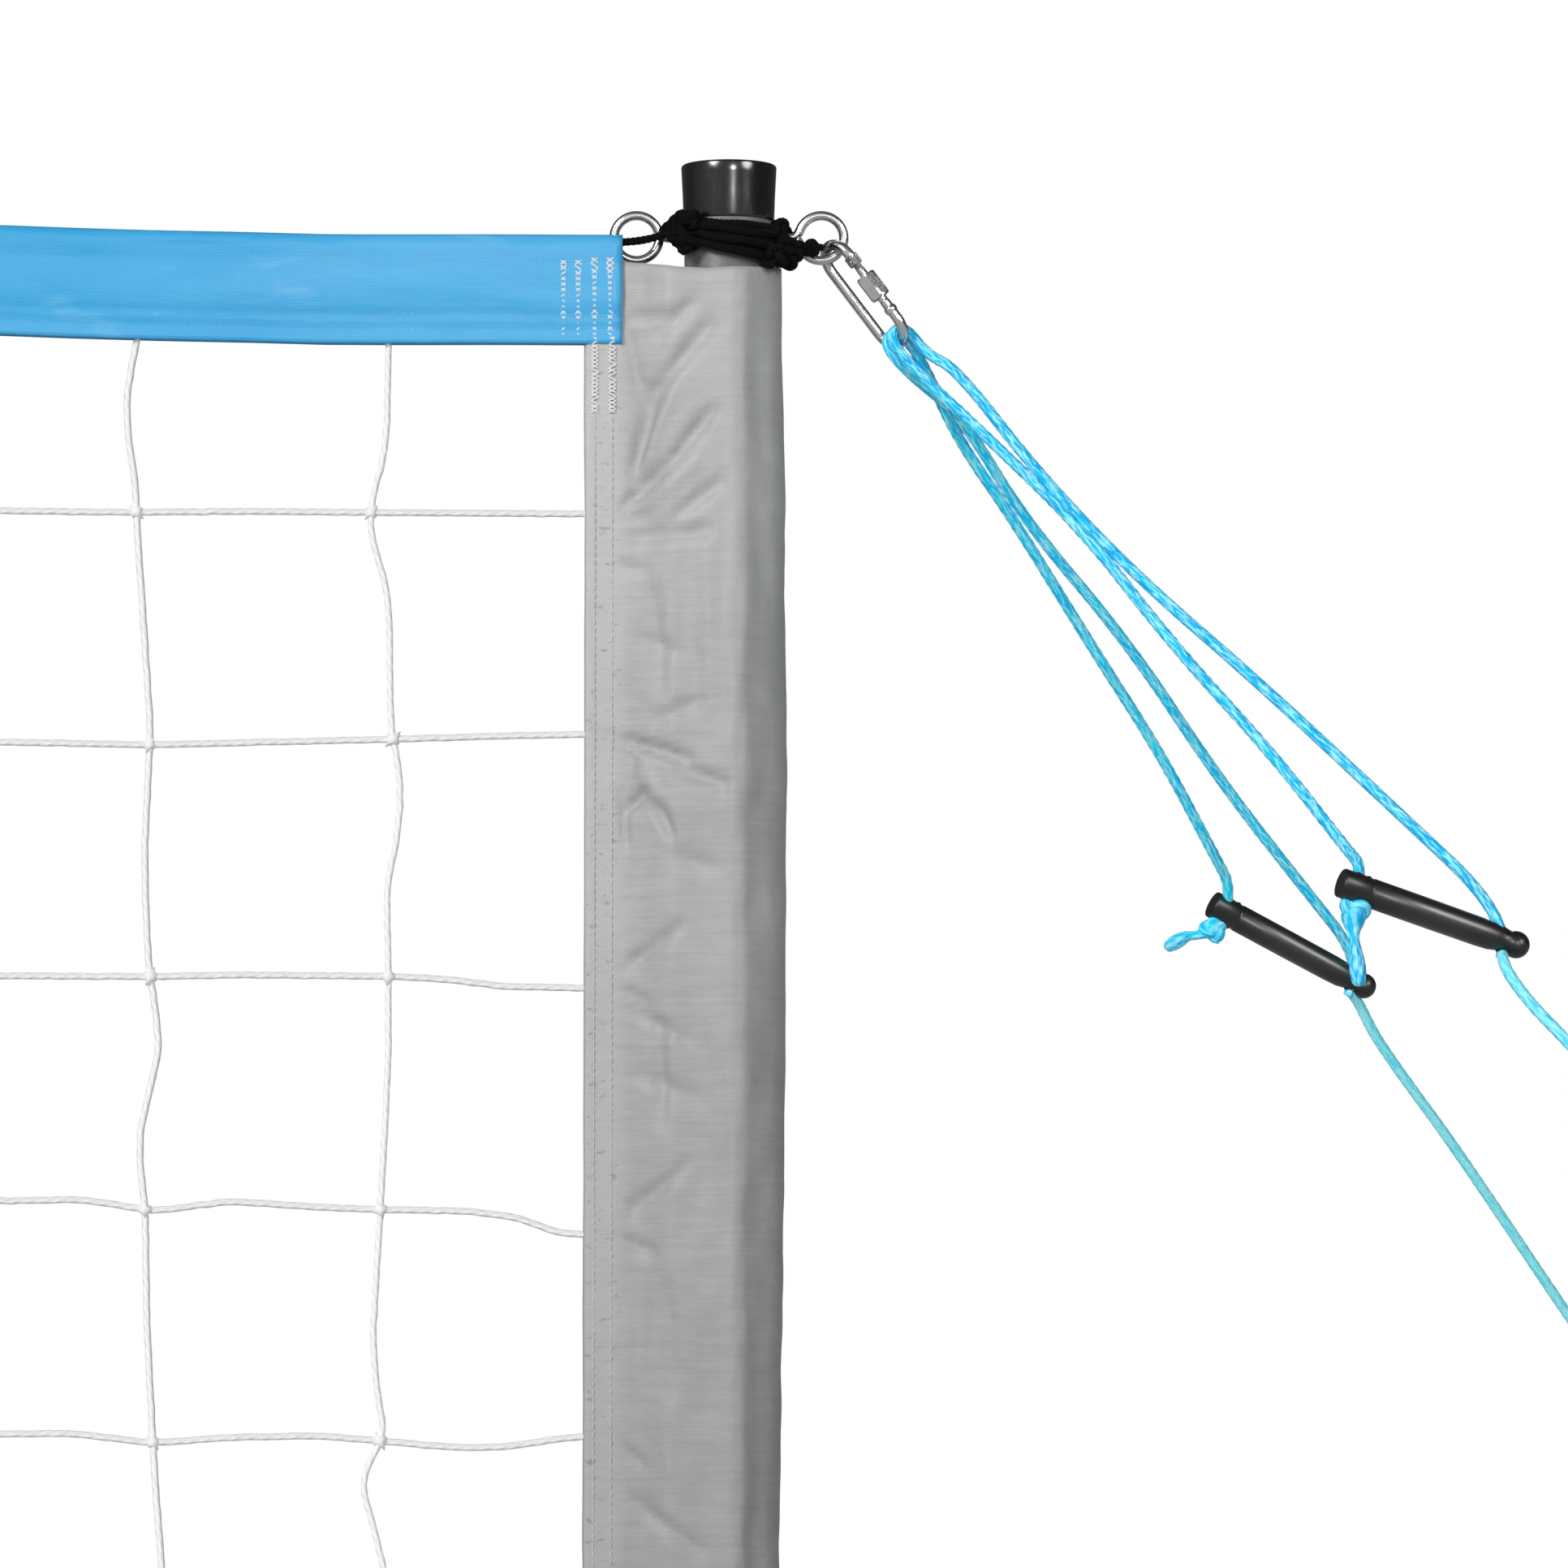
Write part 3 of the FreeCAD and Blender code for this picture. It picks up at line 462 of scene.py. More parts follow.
def tube(line, radius, sides=20, closed=False, rounded=0, relief=None):
    """A round bar along a line. relief(around, along mm) swells it and is kept for the finish."""
    line = np.asarray(line, float)
    r = np.full(len(line), float(radius)) if np.isscalar(radius) else np.asarray(radius, float)
    if rounded:
        head, tail, hr, tr = [], [], [], []
        for k in range(1, rounded + 1):
            a = math.pi / 2 * k / (rounded + 0.35)
            head.append(line[0] + unit(line[0] - line[1]) * r[0] * math.sin(a))
            tail.append(line[-1] + unit(line[-1] - line[-2]) * r[-1] * math.sin(a))
            hr.append(r[0] * math.cos(a))
            tr.append(r[-1] * math.cos(a))
        line = np.vstack([head[::-1], line, tail])
        r = np.concatenate([hr[::-1], r, tr])
    side, up = frames(line, closed)
    s = lengths(line)
    t = np.arange(sides) / sides
    a = 2 * math.pi * t
    grow = relief(t, s[:, None]) if relief else None
    rr = r[:, None] + ((grow - 0.5) * relief.depth if relief else np.zeros(sides))
    points = (line[:, None, :] + side[:, None, :] * (rr * np.cos(a))[..., None]
              + up[:, None, :] * (rr * np.sin(a))[..., None])
    along = np.append(s, s[-1] + 1) / 1000
    return grid(points, ring=closed, along=along, caps=not closed, relief=grow).outward()


class Braid:
    """Relief of two sets of strands that pass over and under each other."""

    def __init__(self, strands, pitch, depth):
        self.half = strands / 2
        self.pitch = pitch
        self.depth = depth

    def __call__(self, around, along):
        a = np.pi * self.half * (around + along / self.pitch)
        b = np.pi * self.half * (around - along / self.pitch)
        over = np.sin(a) * np.sin(b)
        return np.clip(np.maximum(np.abs(np.sin(a)) * (0.75 + 0.35 * over),
                                  np.abs(np.sin(b)) * (0.75 - 0.35 * over)), 0, 1)


def spun(profile, sides=64, hollow=False):
    """Turns a (radius, z) outline about the Z axis."""
    profile = np.asarray(profile, float)
    t = 2 * math.pi * np.arange(sides) / sides
    points = np.stack([profile[:, None, 0] * np.cos(t), profile[:, None, 0] * np.sin(t),
                       np.repeat(profile[:, None, 1], sides, axis=1)], axis=2)
    s = lengths(np.column_stack([profile, np.zeros(len(profile))]))
    return grid(points, ring=hollow, along=np.append(s, s[-1] + 1) / 1000,
                caps=not hollow).outward()


def moved(shape, origin, axes):
    """Carries a shape to an origin with its own x, y, z axes."""
    shape.verts = np.asarray(origin) + shape.verts @ np.array(axes, float)
    return shape.outward()


def arc_points(centre, a, b, radius, start, stop, count):
    """Points round an arc in the plane of a and b, between two angles from a."""
    t = np.radians(np.linspace(start, stop, count))
    return np.asarray(centre) + np.outer(np.cos(t), a) * radius + np.outer(np.sin(t), b) * radius


def circle(centre, a, b, radius, count):
    return arc_points(centre, a, b, radius, 0, 360, count + 1)[:-1]


def full(side, name):
    """A name with its side; the pieces in the middle and the root body have none."""
    return name if side == "middle" or name == ROOT else side + "_" + name


def belong(made, side, body=None, node=None):
    """Puts a piece on its body and in place of its node."""
    if body:
        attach(made, full(side, body))
    if node:
        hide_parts(full(side, node))
    return made


def added(name, data):
    made = bpy.data.objects.new(name, data)
    bpy.context.scene.collection.objects.link(made)
    return made


def in_frame(side, p):
    """A place in mm beside the right pole as metres in the frame, mirrored for the left pole."""
    sign = 1 if side == "right" else -1
    return ((HALF + p[0]) * sign / 1000, p[1] / 1000, p[2] / 1000)


def piece(name, side, shape, finish, body=None, slot=None, node=None, sharp=38):
    """The finished object, at the right pole or as its mirror image at the left one."""
    name = full(side, name)
    verts = shape.verts.copy()
    faces, uvs = shape.faces, shape.uvs
    if side != "middle":
        verts[:, 0] += HALF
    if side == "left":
        verts[:, 0] *= -1
        faces = [tuple(reversed(f)) for f in faces]
        uvs = [tuple(reversed(f)) for f in uvs]
    mesh = bpy.data.meshes.new(name)
    mesh.from_pydata((verts / 1000).tolist(), [], faces)
    layer = mesh.uv_layers.new(name="run")
    layer.data.foreach_set("uv", np.array([c for f in uvs for c in f], np.float32).ravel())
    attribute = mesh.attributes.new("relief", "FLOAT", "POINT")
    attribute.data.foreach_set("value", np.asarray(shape.relief, np.float32))
    mesh.shade_smooth()
    mesh.set_sharp_from_angle(angle=math.radians(sharp))
    mesh.materials.append(finish)
    return belong(added(name, mesh), side, body, node)


def as_mesh(made):
    """The object as its modifiers leave it, as a plain mesh."""
    seen = made.evaluated_get(bpy.context.evaluated_depsgraph_get())
    return bpy.data.meshes.new_from_object(seen)


def cloth(name, side, shape, finish, thick, node, on):
    """A sheet with its real thickness in mm laid inwards."""
    made = piece(name, side, shape, finish, sharp=180)
    modifier = made.modifiers.new("thickness", "SOLIDIFY")
    modifier.thickness = thick / 1000
    modifier.offset = -1
    modifier.use_rim = True
    mesh = as_mesh(made)
    made.modifiers.clear()
    made.data = mesh
    belong(made, side, ROOT, node)
    full(side, on)


def flow(points):
    """Points in mm read from the smooth spline that the route's points control."""
    curve = bpy.data.curves.new("route", "CURVE")
    curve.dimensions = "3D"
    curve.resolution_u = 24
    spline = curve.splines.new("NURBS")
    spline.points.add(len(points) - 1)
    for spot, p in zip(spline.points, points):
        spot.co = (p[0] / 1000, p[1] / 1000, p[2] / 1000, 1.0)
    spline.order_u = 3
    spline.use_endpoint_u = True
    holder = added("route", curve)
    mesh = bpy.data.meshes.new_from_object(holder)
    line = np.array([v.co for v in mesh.vertices], float) * 1000
    bpy.data.objects.remove(holder)
    bpy.data.curves.remove(curve)
    bpy.data.meshes.remove(mesh)
    return line


GLOSS = black_gloss()
PAINT = pole_paint()
SATIN = black_satin("slider_plastic", 0.0025, 0.36, 1500, 0.60, rubbed=True)
COLLAR = black_satin("collar_plastic", 0.014, 0.45, 900)
RUBBER = black_satin("foot_rubber", 0.012, 0.7, 600)
ZINC = steel("zinc_wire", 0.62, 0.20)
BRIGHT = steel("bright_link_steel", 0.75, 0.15)
GALVANISED = steel("stake_steel", 0.42, 0.38, 2.0)
# The back ropes show their shaded side to the front, so their blue is painted paler: painted light
# that makes up for that shade.
# The lines down to the stakes are paler than the loops, partly painted lighter to make up for the
# less light they get.
BLUE_ROPES = {
    "front": rope_blue("blue_rope", 0.66, (0.001, 0.345, 0.780), (0.006, 0.580, 0.940)),
    "back": rope_blue("back_blue_rope_painted_lighter", 0.66, (0.001, 0.450, 0.930), (0.008, 0.730, 1.0))}
PALE_LINE_ROPES = {
    "front": rope_blue("pale_line_rope", 0.85, (0.040, 0.560, 0.840), (0.15, 0.77, 0.95)),
    "back": rope_blue("back_line_rope_painted_lighter", 0.95, (0.080, 0.760, 1.0), (0.28, 0.95, 1.0))}
CORD = black_cord()
TWINE = twine_white()
GREY_CLOTH = coated_grey()
BLUE_TAPE = coated_blue()
THREAD = plain("white_thread", (0.80, 0.80, 0.80), 0.6)
HEM_THREAD = plain("grey_thread", (0.62, 0.62, 0.62), 0.6)
SEAM = plain("pale_blue_thread", (0.30, 0.66, 0.90), 0.6)


# Snap link's own directions: down the pull, across the legs, out of its plane
PULL = np.array((math.cos(math.radians(53)), 0, -math.sin(math.radians(53))))
SIDE_UP = np.array((-PULL[2], 0, PULL[0]))
LINK_TURN = math.radians(30)
LINK_SIDE = -math.cos(LINK_TURN) * np.array((0, 1, 0)) + math.sin(LINK_TURN) * SIDE_UP
LINK_NORMAL = np.cross(PULL, LINK_SIDE)
LINK_TOP = np.array((EYE_X, 0, EYE_Z)) + PULL * 4.9
LINK_LENGTH = 51.5
LINK_LEG = 9.0
LINK_WIRE = 4.6
LINK_SEAT = 46.3


def link_point(down, side, out=0.0):
    return LINK_TOP + PULL * down + LINK_SIDE * side + LINK_NORMAL * out


# Ropes: the bends of both strands between the slider and the link
SETS = {
    "back": {
        "a": [(211, 154, 1990), (188, 125, 2029), (156, 91, 2074), (122, 53, 2124), (98, 30, 2155)],
        "b": [(100, 24, 2164), (127, 54, 2123), (173, 91, 2074), (214, 133, 2018),
              (252, 166, 1974)],
        "middle": (249, 186, 1948), "tilt": 27.0, "y": STAKE_Y, "slot": -2.6},
    "front": {
        "a": [(253, -176, 1960), (226, -146, 2000), (185, -108, 2051), (149, -69, 2104),
              (108, -34, 2149)],
        "b": [(97, -11, 2180), (130, -48, 2131), (171, -85, 2082), (221, -122, 2033),
              (270, -161, 1981)],
        "middle": (288, -199, 1930), "tilt": 18.0, "y": -STAKE_Y, "slot": 2.6},
}


def slider_axes(which):
    tilt = math.radians(SETS[which]["tilt"])
    away = math.radians(16)
    along = np.array((math.cos(tilt) * math.cos(away), math.sin(away),
                      -math.sin(tilt) * math.cos(away)))
    through = unit(np.cross(along, (0, 1, 0)))
    if through[2] > 0:
        through = -through
    return np.array(SETS[which]["middle"]) - along * SLIDER_LENGTH / 2, along, through


def slider_point(which, at, down=0.0):
    start, along, through = slider_axes(which)
    return start + along * at + through * down


def line_end(which):
    """Where a stake's hook holds the line, the way down the stake and the way out."""
    y = SETS[which]["y"]
    out = unit((STAKE_X, y, 0))
    lean = math.radians(STAKE_LEAN)
    down = np.array((-out[0] * math.sin(lean), -out[1] * math.sin(lean), -math.cos(lean)))
    return np.array((STAKE_X, y, 0)) - down * 22, down, out


ROPE_SKIN = ROPE / 2 - 0.1
ROPE_BRAID = Braid(8, 21.0, 0.32)
TIE_BRAID = Braid(8, 9.0, 0.5)


def loop_route(which):
    """From the knot under the slider up over the link's bottom bend and down to the other hole."""
    data = SETS[which]
    side = data["slot"]
    over = [link_point(62.5, side, -5.2), link_point(LINK_SEAT, side, -5.2),
            link_point(LINK_SEAT, side, 5.2), link_point(62.5, side, 5.2)]
    near = np.array(data["a"][-1])
    if np.linalg.norm(over[0] - near) > np.linalg.norm(over[3] - near):
        over.reverse()
    return ([slider_point(which, UPPER_HOLE_AT, 14.5), slider_point(which, UPPER_HOLE_AT, -8)]
            + data["a"] + over + data["b"]
            + [slider_point(which, LOWER_HOLE_AT, -9), slider_point(which, LOWER_HOLE_AT, 7.2)])


def knot_line(centre, along, through, size, depth):
    """The closed three-lobed path that a tight overhand knot takes."""
    third = np.cross(along, through)
    t = np.linspace(0, 2 * math.pi, 97)[:-1]
    x = np.sin(t) + 2 * np.sin(2 * t)
    y = np.cos(t) - 2 * np.cos(2 * t)
    z = -np.sin(3 * t) * depth
    return (np.asarray(centre) + np.outer(x, along) * size + np.outer(y, through) * size
            + np.outer(z, third) * size)


def stopper(which):
    """The tight knot under the slider with its short tail."""
    front = np.array((0.0, -1.0, 0.0))
    if which == "back":
        middle, lean = np.array((213.2, 175.6, 1955.6)), math.radians(28)
        size, widths = 1.42, (2.3, 2.6, 4.0, 4.4, 3.2, 2.3, 1.9, 2.0, 2.6, 3.2, 3.2, 2.7)
        tail = [slider_point(which, UPPER_HOLE_AT, 3), (217.0, 175.5, 1957.2), middle,
                (206.6, 175.0, 1952.6), (201.8, 174.5, 1952.4), (198.4, 174.0, 1950.6),
                (194.0, 173.6, 1948.0)]
    else:
        middle, lean = np.array((254.8, -208.8, 1931.2)), math.radians(100)
        size, widths = 1.62, (2.3, 2.8, 4.2, 4.9, 3.9, 2.2, 2.0, 2.4, 2.9, 3.3, 3.4, 3.0)
        tail = [slider_point(which, UPPER_HOLE_AT, 3), (255.0, -208.6, 1936.0), middle,
                (254.4, -209.4, 1925.0), (254.7, -211.5, 1919.0), (255.6, -213.0, 1911.0),
                (256.2, -213.5, 1903.0)]
    along = np.array((math.cos(lean), 0.0, math.sin(lean)))
    turns = even(knot_line(middle, along, np.cross(front, along), size, 1.25), 0.6)
    line = even(flow(tail), 0.7)
    bulge = np.interp(np.linspace(0, 1, len(line)), np.linspace(0, 1, len(widths)), widths)
    return together(tube(turns, 2.3, 14, closed=True, relief=ROPE_BRAID),
                    tube(line, bulge, 16, rounded=3, relief=ROPE_BRAID))


def guy_loop(side, which):
    """The rope from its stopper knot up through the link and back down to the slider."""
    line = even(flow(loop_route(which)[::-1]), 0.8)
    loop = piece("guy_rope_loop_" + which, side, tube(line, ROPE_SKIN, 18, relief=ROPE_BRAID),
                 BLUE_ROPES[which], None, "blue_rope", "guy_loop_" + which)
    knot = piece("stopper_knot_" + which, side, stopper(which), BLUE_ROPES[which],
                 "slider_" + which, "blue_rope")
    path = [in_frame(side, p) for p in even(line, 2)]
    side + "_slider_" + which
    side + "_guy_set"
    in_frame(side, slider_point(which, UPPER_HOLE_AT, -16))
    in_frame(side, link_point(62, 0))
    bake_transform(loop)


# Guy lines bow by this much, in mm, at these shares of their way from the slider to the stake
LINE_LIE = {
    "back": ((0.004, -4.4), (0.011, -7.4), (0.0185, -7.4), (0.0265, -6.6), (0.034, -5.6),
             (0.0525, -5.3), (0.075, -5.4), (0.15, -3.5), (0.3, 0.0)),
    "front": ((0.004, -7.7), (0.008, -10.6), (0.015, -11.5), (0.0225, -9.4), (0.05, -6.0),
              (0.1, -3.0), (0.3, 0.0)),
}


def guy_line(side, which):
    """The rope from the slider down to the stake, tied round the stake with a whipped eye."""
    end, down, out = line_end(which)
    bend = slider_point(which, LOWER_HOLE_AT, 12.0)
    hole = slider_point(which, LOWER_HOLE_AT)
    pull = unit(hole - end)
    reach = end + pull * 46
    lie = [hole + (end - hole) * part + np.array((off, 0, 0)) for part, off in LINE_LIE[which]]
    run = even(flow([slider_point(which, LOWER_HOLE_AT, 5.0)] + lie + [reach]), 1.1)
    line = piece("guy_rope_line_" + which, side, tube(run, ROPE_SKIN, 12, relief=ROPE_BRAID),
                 PALE_LINE_ROPES[which], None, "blue_rope", "guy_line_" + which)
    side + "_slider_" + which
    side + "_guy_set"
    in_frame(side, bend)
    in_frame(side, bend + (end - bend) * 0.25)
    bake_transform(line)
    across = unit(np.cross(down, out))
    r = STAKE_R + ROPE / 2 + 0.4
    made = [tube(circle(end, unit(np.cross(across, down)), across, r, 48), ROPE / 2, 14,
                 closed=True, relief=ROPE_BRAID),
            tube(even([reach + pull * 5, end + pull * (r + 0.5)], 1.5), 3.1, 14, rounded=3,
                 relief=ROPE_BRAID)]
    tilt = unit(np.cross(pull, (0, 0, 1)))
    for k in range(5):
        centre = reach - pull * (6 + 3.6 * k)
        ring = circle(centre, tilt + pull / 3, np.cross(tilt, pull), 3.6, 24)
        made.append(tube(ring, 1.9, 10, closed=True, relief=ROPE_BRAID))
    piece("line_eye_" + which, side, together(*made), PALE_LINE_ROPES[which], "guy_set", "blue_rope")


# Sliders
def slider(which):
    r = SLIDER_R
    ball = 5.6
    profile = [(0.0, 0.0), (4.2, 0.0), (r - 0.8, 0.0), (r - 0.3, 0.12), (r - 0.05, 0.5), (r, 1.0),
               (r, 12.0), (r - 0.2, 12.3), (r - 0.28, 12.8), (r - 0.2, 13.3), (r, 13.6), (r, 40.0),
               (r - 0.1, 62.0), (r - 0.35, 68.0), (r - 1.0, 71.0), (4.55, 73.0)]
    for k in range(1, 13):
        t = math.radians(-44 + 134 * k / 12)
        profile.append((max(ball * math.cos(t), 0.05),
                        SLIDER_LENGTH - ball + ball * math.sin(t)))
    start, along, through = slider_axes(which)
    body = moved(spun(profile, 48), start, (through, np.cross(along, through), along))
    rims = []
    t = np.linspace(0, 2 * math.pi, 33)[:-1]
    third = np.cross(along, through)
    for at, skin in ((UPPER_HOLE_AT, r), (LOWER_HOLE_AT, 4.9)):
        for sign in (-1, 1):
            ring = slider_point(which, at, sign * skin)
            bow = skin - np.sqrt(skin ** 2 - (RIM_R * np.cos(t)) ** 2)
            line = circle(ring, third, along, RIM_R, 32) - np.outer(bow, through) * sign
            rims.append(tube(line, 0.45, 8, closed=True))
    return together(body, *rims)


# Cap and pole
def cap():
    low, top = TUBE_TOP, 2268.8
    plug = UPPER_R - WALL - 0.1
    return spun([(0.02, top - 0.7), (13.0, top - 0.7), (14.0, top - 0.6), (14.6, top),
                 (19.0, top), (19.7, top - 0.12), (20.2, top - 0.5), (20.4, top - 1.1),
                 (20.2, top - 5.0), (19.75, top - 14.0), (19.45, low + 1.0), (19.38, low + 0.3),
                 (19.15, low), (plug, low), (plug - 0.4, low - 27), (plug - 2.8, low - 27),
                 (plug - 2.8, top - 3.4), (0.02, top - 3.4)], 96)


def upper_tube():
    bottom, top, r = 800.0, TUBE_TOP, UPPER_R
    return spun([(r - WALL, bottom), (r - 0.3, bottom), (r, bottom + 0.4), (r, top - 0.4),
                 (r - 0.3, top), (r - WALL, top)], 72, hollow=True)


def eye(sign):
    """Straight shank, a set at the neck, then the round of the eye to its cut end."""
    bend = 5.0
    neck = EYE_X - math.sqrt((EYE_R + bend) ** 2 - bend ** 2)
    centre = np.array((EYE_X, 0, EYE_Z))
    x, z = np.array((1.0, 0, 0)), np.array((0, 0, 1.0))
    lean = math.degrees(math.atan2(bend, neck - EYE_X))
    line = np.vstack([
        np.array((2.5, 0, EYE_Z)) + np.outer(np.linspace(0, neck - 3.0, 14), x),
        arc_points((neck, 0, EYE_Z + bend), x, z, bend, -90, lean - 180, 10),
        arc_points(centre, x, z, EYE_R, lean, -171, 64)[1:]])
    line[:, 0] *= sign
    return tube(even(line, 0.7), 2.0, 20, rounded=2)


# Snap link
def hook():
    leg = LINK_LEG
    low = LINK_LENGTH - leg
    line = np.vstack([
        [link_point(9.8, leg), link_point(9.3, leg)],
        arc_points(link_point(leg, 0), LINK_SIDE, -PULL, leg, 0, 180, 40),
        [link_point(d, -leg) for d in np.linspace(leg + 1, low - 1, 30)],
        arc_points(link_point(low, 0), -LINK_SIDE, PULL, leg, 0, 180, 40),
        [link_point(d, leg) for d in np.linspace(low - 0.6, 38.9, 5)]])
    wire = tube(even(line, 0.8), LINK_WIRE / 2, 24, rounded=2)
    stub = tube(even([link_point(34.2, leg), link_point(39.2, leg)], 0.6), 2.2, 24)
    collar = tube(even([link_point(36.9, leg), link_point(39.9, leg)], 0.6),
                  [2.3, 2.7, 2.8, 2.8, 2.7, 2.4], 24)
    cheeks = [block(link_point(9.4, leg - 2.3, out), link_point(14.4, leg + 2.3, out + 1.15), 0.35)
              for out in (1.15, -2.3)]
    return together(wire, stub, collar, *cheeks)


def block(a, b, bevel):
    """A box with broken edges between two corners, in the link's own directions."""
    axes = np.array((PULL, LINK_SIDE, LINK_NORMAL))
    size = axes @ (np.asarray(b) - np.asarray(a))
    bm = bmesh.new()
    bmesh.ops.create_cube(bm, size=1.0)
    for v in bm.verts:
        v.co = Vector([(v.co[k] + 0.5) * size[k] for k in range(3)])
    bmesh.ops.bevel(bm, geom=bm.edges[:], offset=bevel, segments=2, affect="EDGES")
    verts = np.array([v.co for v in bm.verts])
    faces = [tuple(v.index for v in f.verts) for f in bm.faces]
    bm.free()
    uvs = [tuple((verts[i][0] / 10, verts[i][1] / 1000) for i in f) for f in faces]
    return moved(Shape(verts, faces, uvs), a, axes)


def link_nut():
    """Six flats with turned ends."""
    length, half, bore = 11.6, 4.15, 2.3
    t = 2 * math.pi * np.arange(48) / 48
    flat = half / np.cos((t + math.pi / 6) % (math.pi / 3) - math.pi / 6)
    turned = np.minimum(flat, half * 1.08)
    bored, round_end = np.full(48, bore), np.minimum(flat, half)
    rows = [link_point(20.1 + z, LINK_LEG) + np.outer(r * np.cos(t), LINK_SIDE)
            + np.outer(r * np.sin(t), LINK_NORMAL)
            for z, r in ((0.0, bored), (0.0, round_end), (0.6, turned), (1.2, flat),
                         (length / 2, flat), (length - 1.2, flat), (length - 0.6, turned),
                         (length, round_end), (length, bored))]
    return grid(np.array(rows), ring=True).outward()


def gate():
    leg = LINK_LEG
    tongue = block(link_point(10.4, leg - 1.9, -1.0), link_point(18.0, leg + 1.9, 1.0), 0.3)
    line = even([link_point(16.5, leg), link_point(33.9, leg)], 0.5)
    s = lengths(line)
    rod = np.where(s < 4.0, 1.9, 2.05) + np.where(s > 4.5, 0.14 * np.sin(2 * math.pi * s / 1.0), 0)
    return together(tongue, tube(line, rod, 24))


def pin():
    line = even([link_point(12.5, LINK_LEG, -2.7), link_point(12.5, LINK_LEG, 2.7)], 0.27)
    r = np.full(len(line), 0.85)
    r[:2] = (1.1, 1.35)
    r[-2:] = (1.35, 1.1)
    return tube(line, r, 20)


# Lashing
def around(degrees, z, out=0.0):
    """A point on the pole's skin, turned from the front towards the guy side."""
    a = math.radians(degrees)
    r = UPPER_R + TIE_CORD / 2 + 0.35 + out
    return (r * math.sin(a), -r * math.cos(a), z)


def lump(x, z, reach, size, turn):
    """A tight little knot that far from the pole's axis, on the front."""
    y = -math.sqrt(max(reach ** 2 - x ** 2, 20.0))
    way = unit((math.cos(turn), -0.25, math.sin(turn)))
    line = knot_line((x, y, z), way, unit(np.cross(way, (0, 1, 0))), size, 1.35)
    return tube(line, 1.75, 10, closed=True, relief=TIE_BRAID)


def band(degrees, z, high):
    """A turn that binds the others together, upright against the pole."""
    a = math.radians(degrees)
    away = np.array((math.sin(a), -math.cos(a), 0.0))
    t = np.linspace(0, 2 * math.pi, 33)[:-1]
    line = (np.array(around(degrees, z, 3.4)) + np.outer(np.cos(t), away) * 3.4
            + np.outer(np.sin(t), (0, 0, 1.0)) * high
            + np.outer(np.sin(2 * t), np.cross(away, (0, 0, 1.0))) * 0.8)
    return tube(line, 1.75, 12, closed=True, relief=TIE_BRAID)


def laid(route, step, radius):
    """A tie cord with round ends along a route."""
    return tube(even(flow(route), step), radius, 12, rounded=2, relief=TIE_BRAID)


def head_lashing():
    """Turns that fan out from the knots on the net side to the guy eye."""
    made = []
    for k in range(6):
        left, right = 2244.6 - 1.6 * k, 2241.0 - 2.9 * k
        lift = (0.2, 2.3, 0.6, 2.6, 0.3, 2.2)[k]
        drift = (0.5, -0.6, 0.4, 0.7, -0.5, 0.2)[k]
        strand = [around(-66, left - 2, 2.5), around(-44, left + drift, lift),
                  around(-14, left + 0.28 * (right - left) - drift, lift + 0.3),
                  around(18, left + 0.58 * (right - left) + drift, lift + 0.4),
                  around(48, left + 0.85 * (right - left), lift + 0.2),
                  around(76, right - drift, lift), around(112, right + 1.0, 0.3 + lift * 0.4),
                  around(160, right + 2.0, lift * 0.6), around(215, left - 3.0, lift * 0.6),
                  around(262, left - 2.0, 0.3 + lift * 0.5), around(300, left - 1.0, 2.5)]
        made.append(laid(strand, 0.8, 1.8))
    for degrees, z, high in ((-46, 2240.0, 6.4), (-54, 2240.4, 7.2), (-63, 2240.2, 5.6)):
        made.append(band(degrees, z, high))
    for x, z, reach, size, turn in (
            (-24.6, 2240.8, 25.5, 1.05, 0.6), (-16.4, 2245.2, 26.0, 1.05, 2.2),
            (-17.6, 2234.8, 26.0, 1.25, 1.4), (-21.8, 2237.4, 27.5, 1.05, 0.2),
            (21.6, 2241.4, 22.4, 1.05, 0.4), (19.4, 2228.6, 27.0, 1.45, 1.0),
            (25.2, 2228.4, 27.4, 1.35, 2.4), (28.6, 2231.6, 30.0, 1.15, 0.3),
            (24.4, 2234.4, 26.5, 1.05, 1.7), (35.0, 2232.6, 35.6, 0.85, 0.9)):
        made.append(lump(x, z, reach, size, turn))
    hook_round = [(20.5, -13.5, 2229.5), (25.5, -8.5, 2232.0), (28.0, 1.0, 2231.8),
                  (26.8, 5.2, 2237.0), (23.6, 2.2, 2243.0), (20.6, -6.5, 2243.2),
                  (19.4, -13.0, 2239.5)]
    made.append(laid(hook_round, 0.7, 1.75))
    end = [(29.5, -6.5, 2231.0), (33.0, -6.8, 2231.6), (36.0, -5.5, 2233.6), (39.2, -6.5, 2233.0)]
    made.append(laid(end, 0.6, 1.6))
    lead = [(-47.0, NET_Y, 2235.2), (-41.0, NET_Y - 0.6, 2235.4), (-33.0, NET_Y - 2.0, 2236.8),
            (-27.0, NET_Y - 3.5, 2238.6), (-22.5, -13.0, 2240.0)]
    made.append(laid(lead, 0.8, 1.6))
    lashing = together(*made)
    lashing.verts[:, 2] += 0.14 * np.clip(lashing.verts[:, 1] + 4.0, -30, 30)
    return lashing


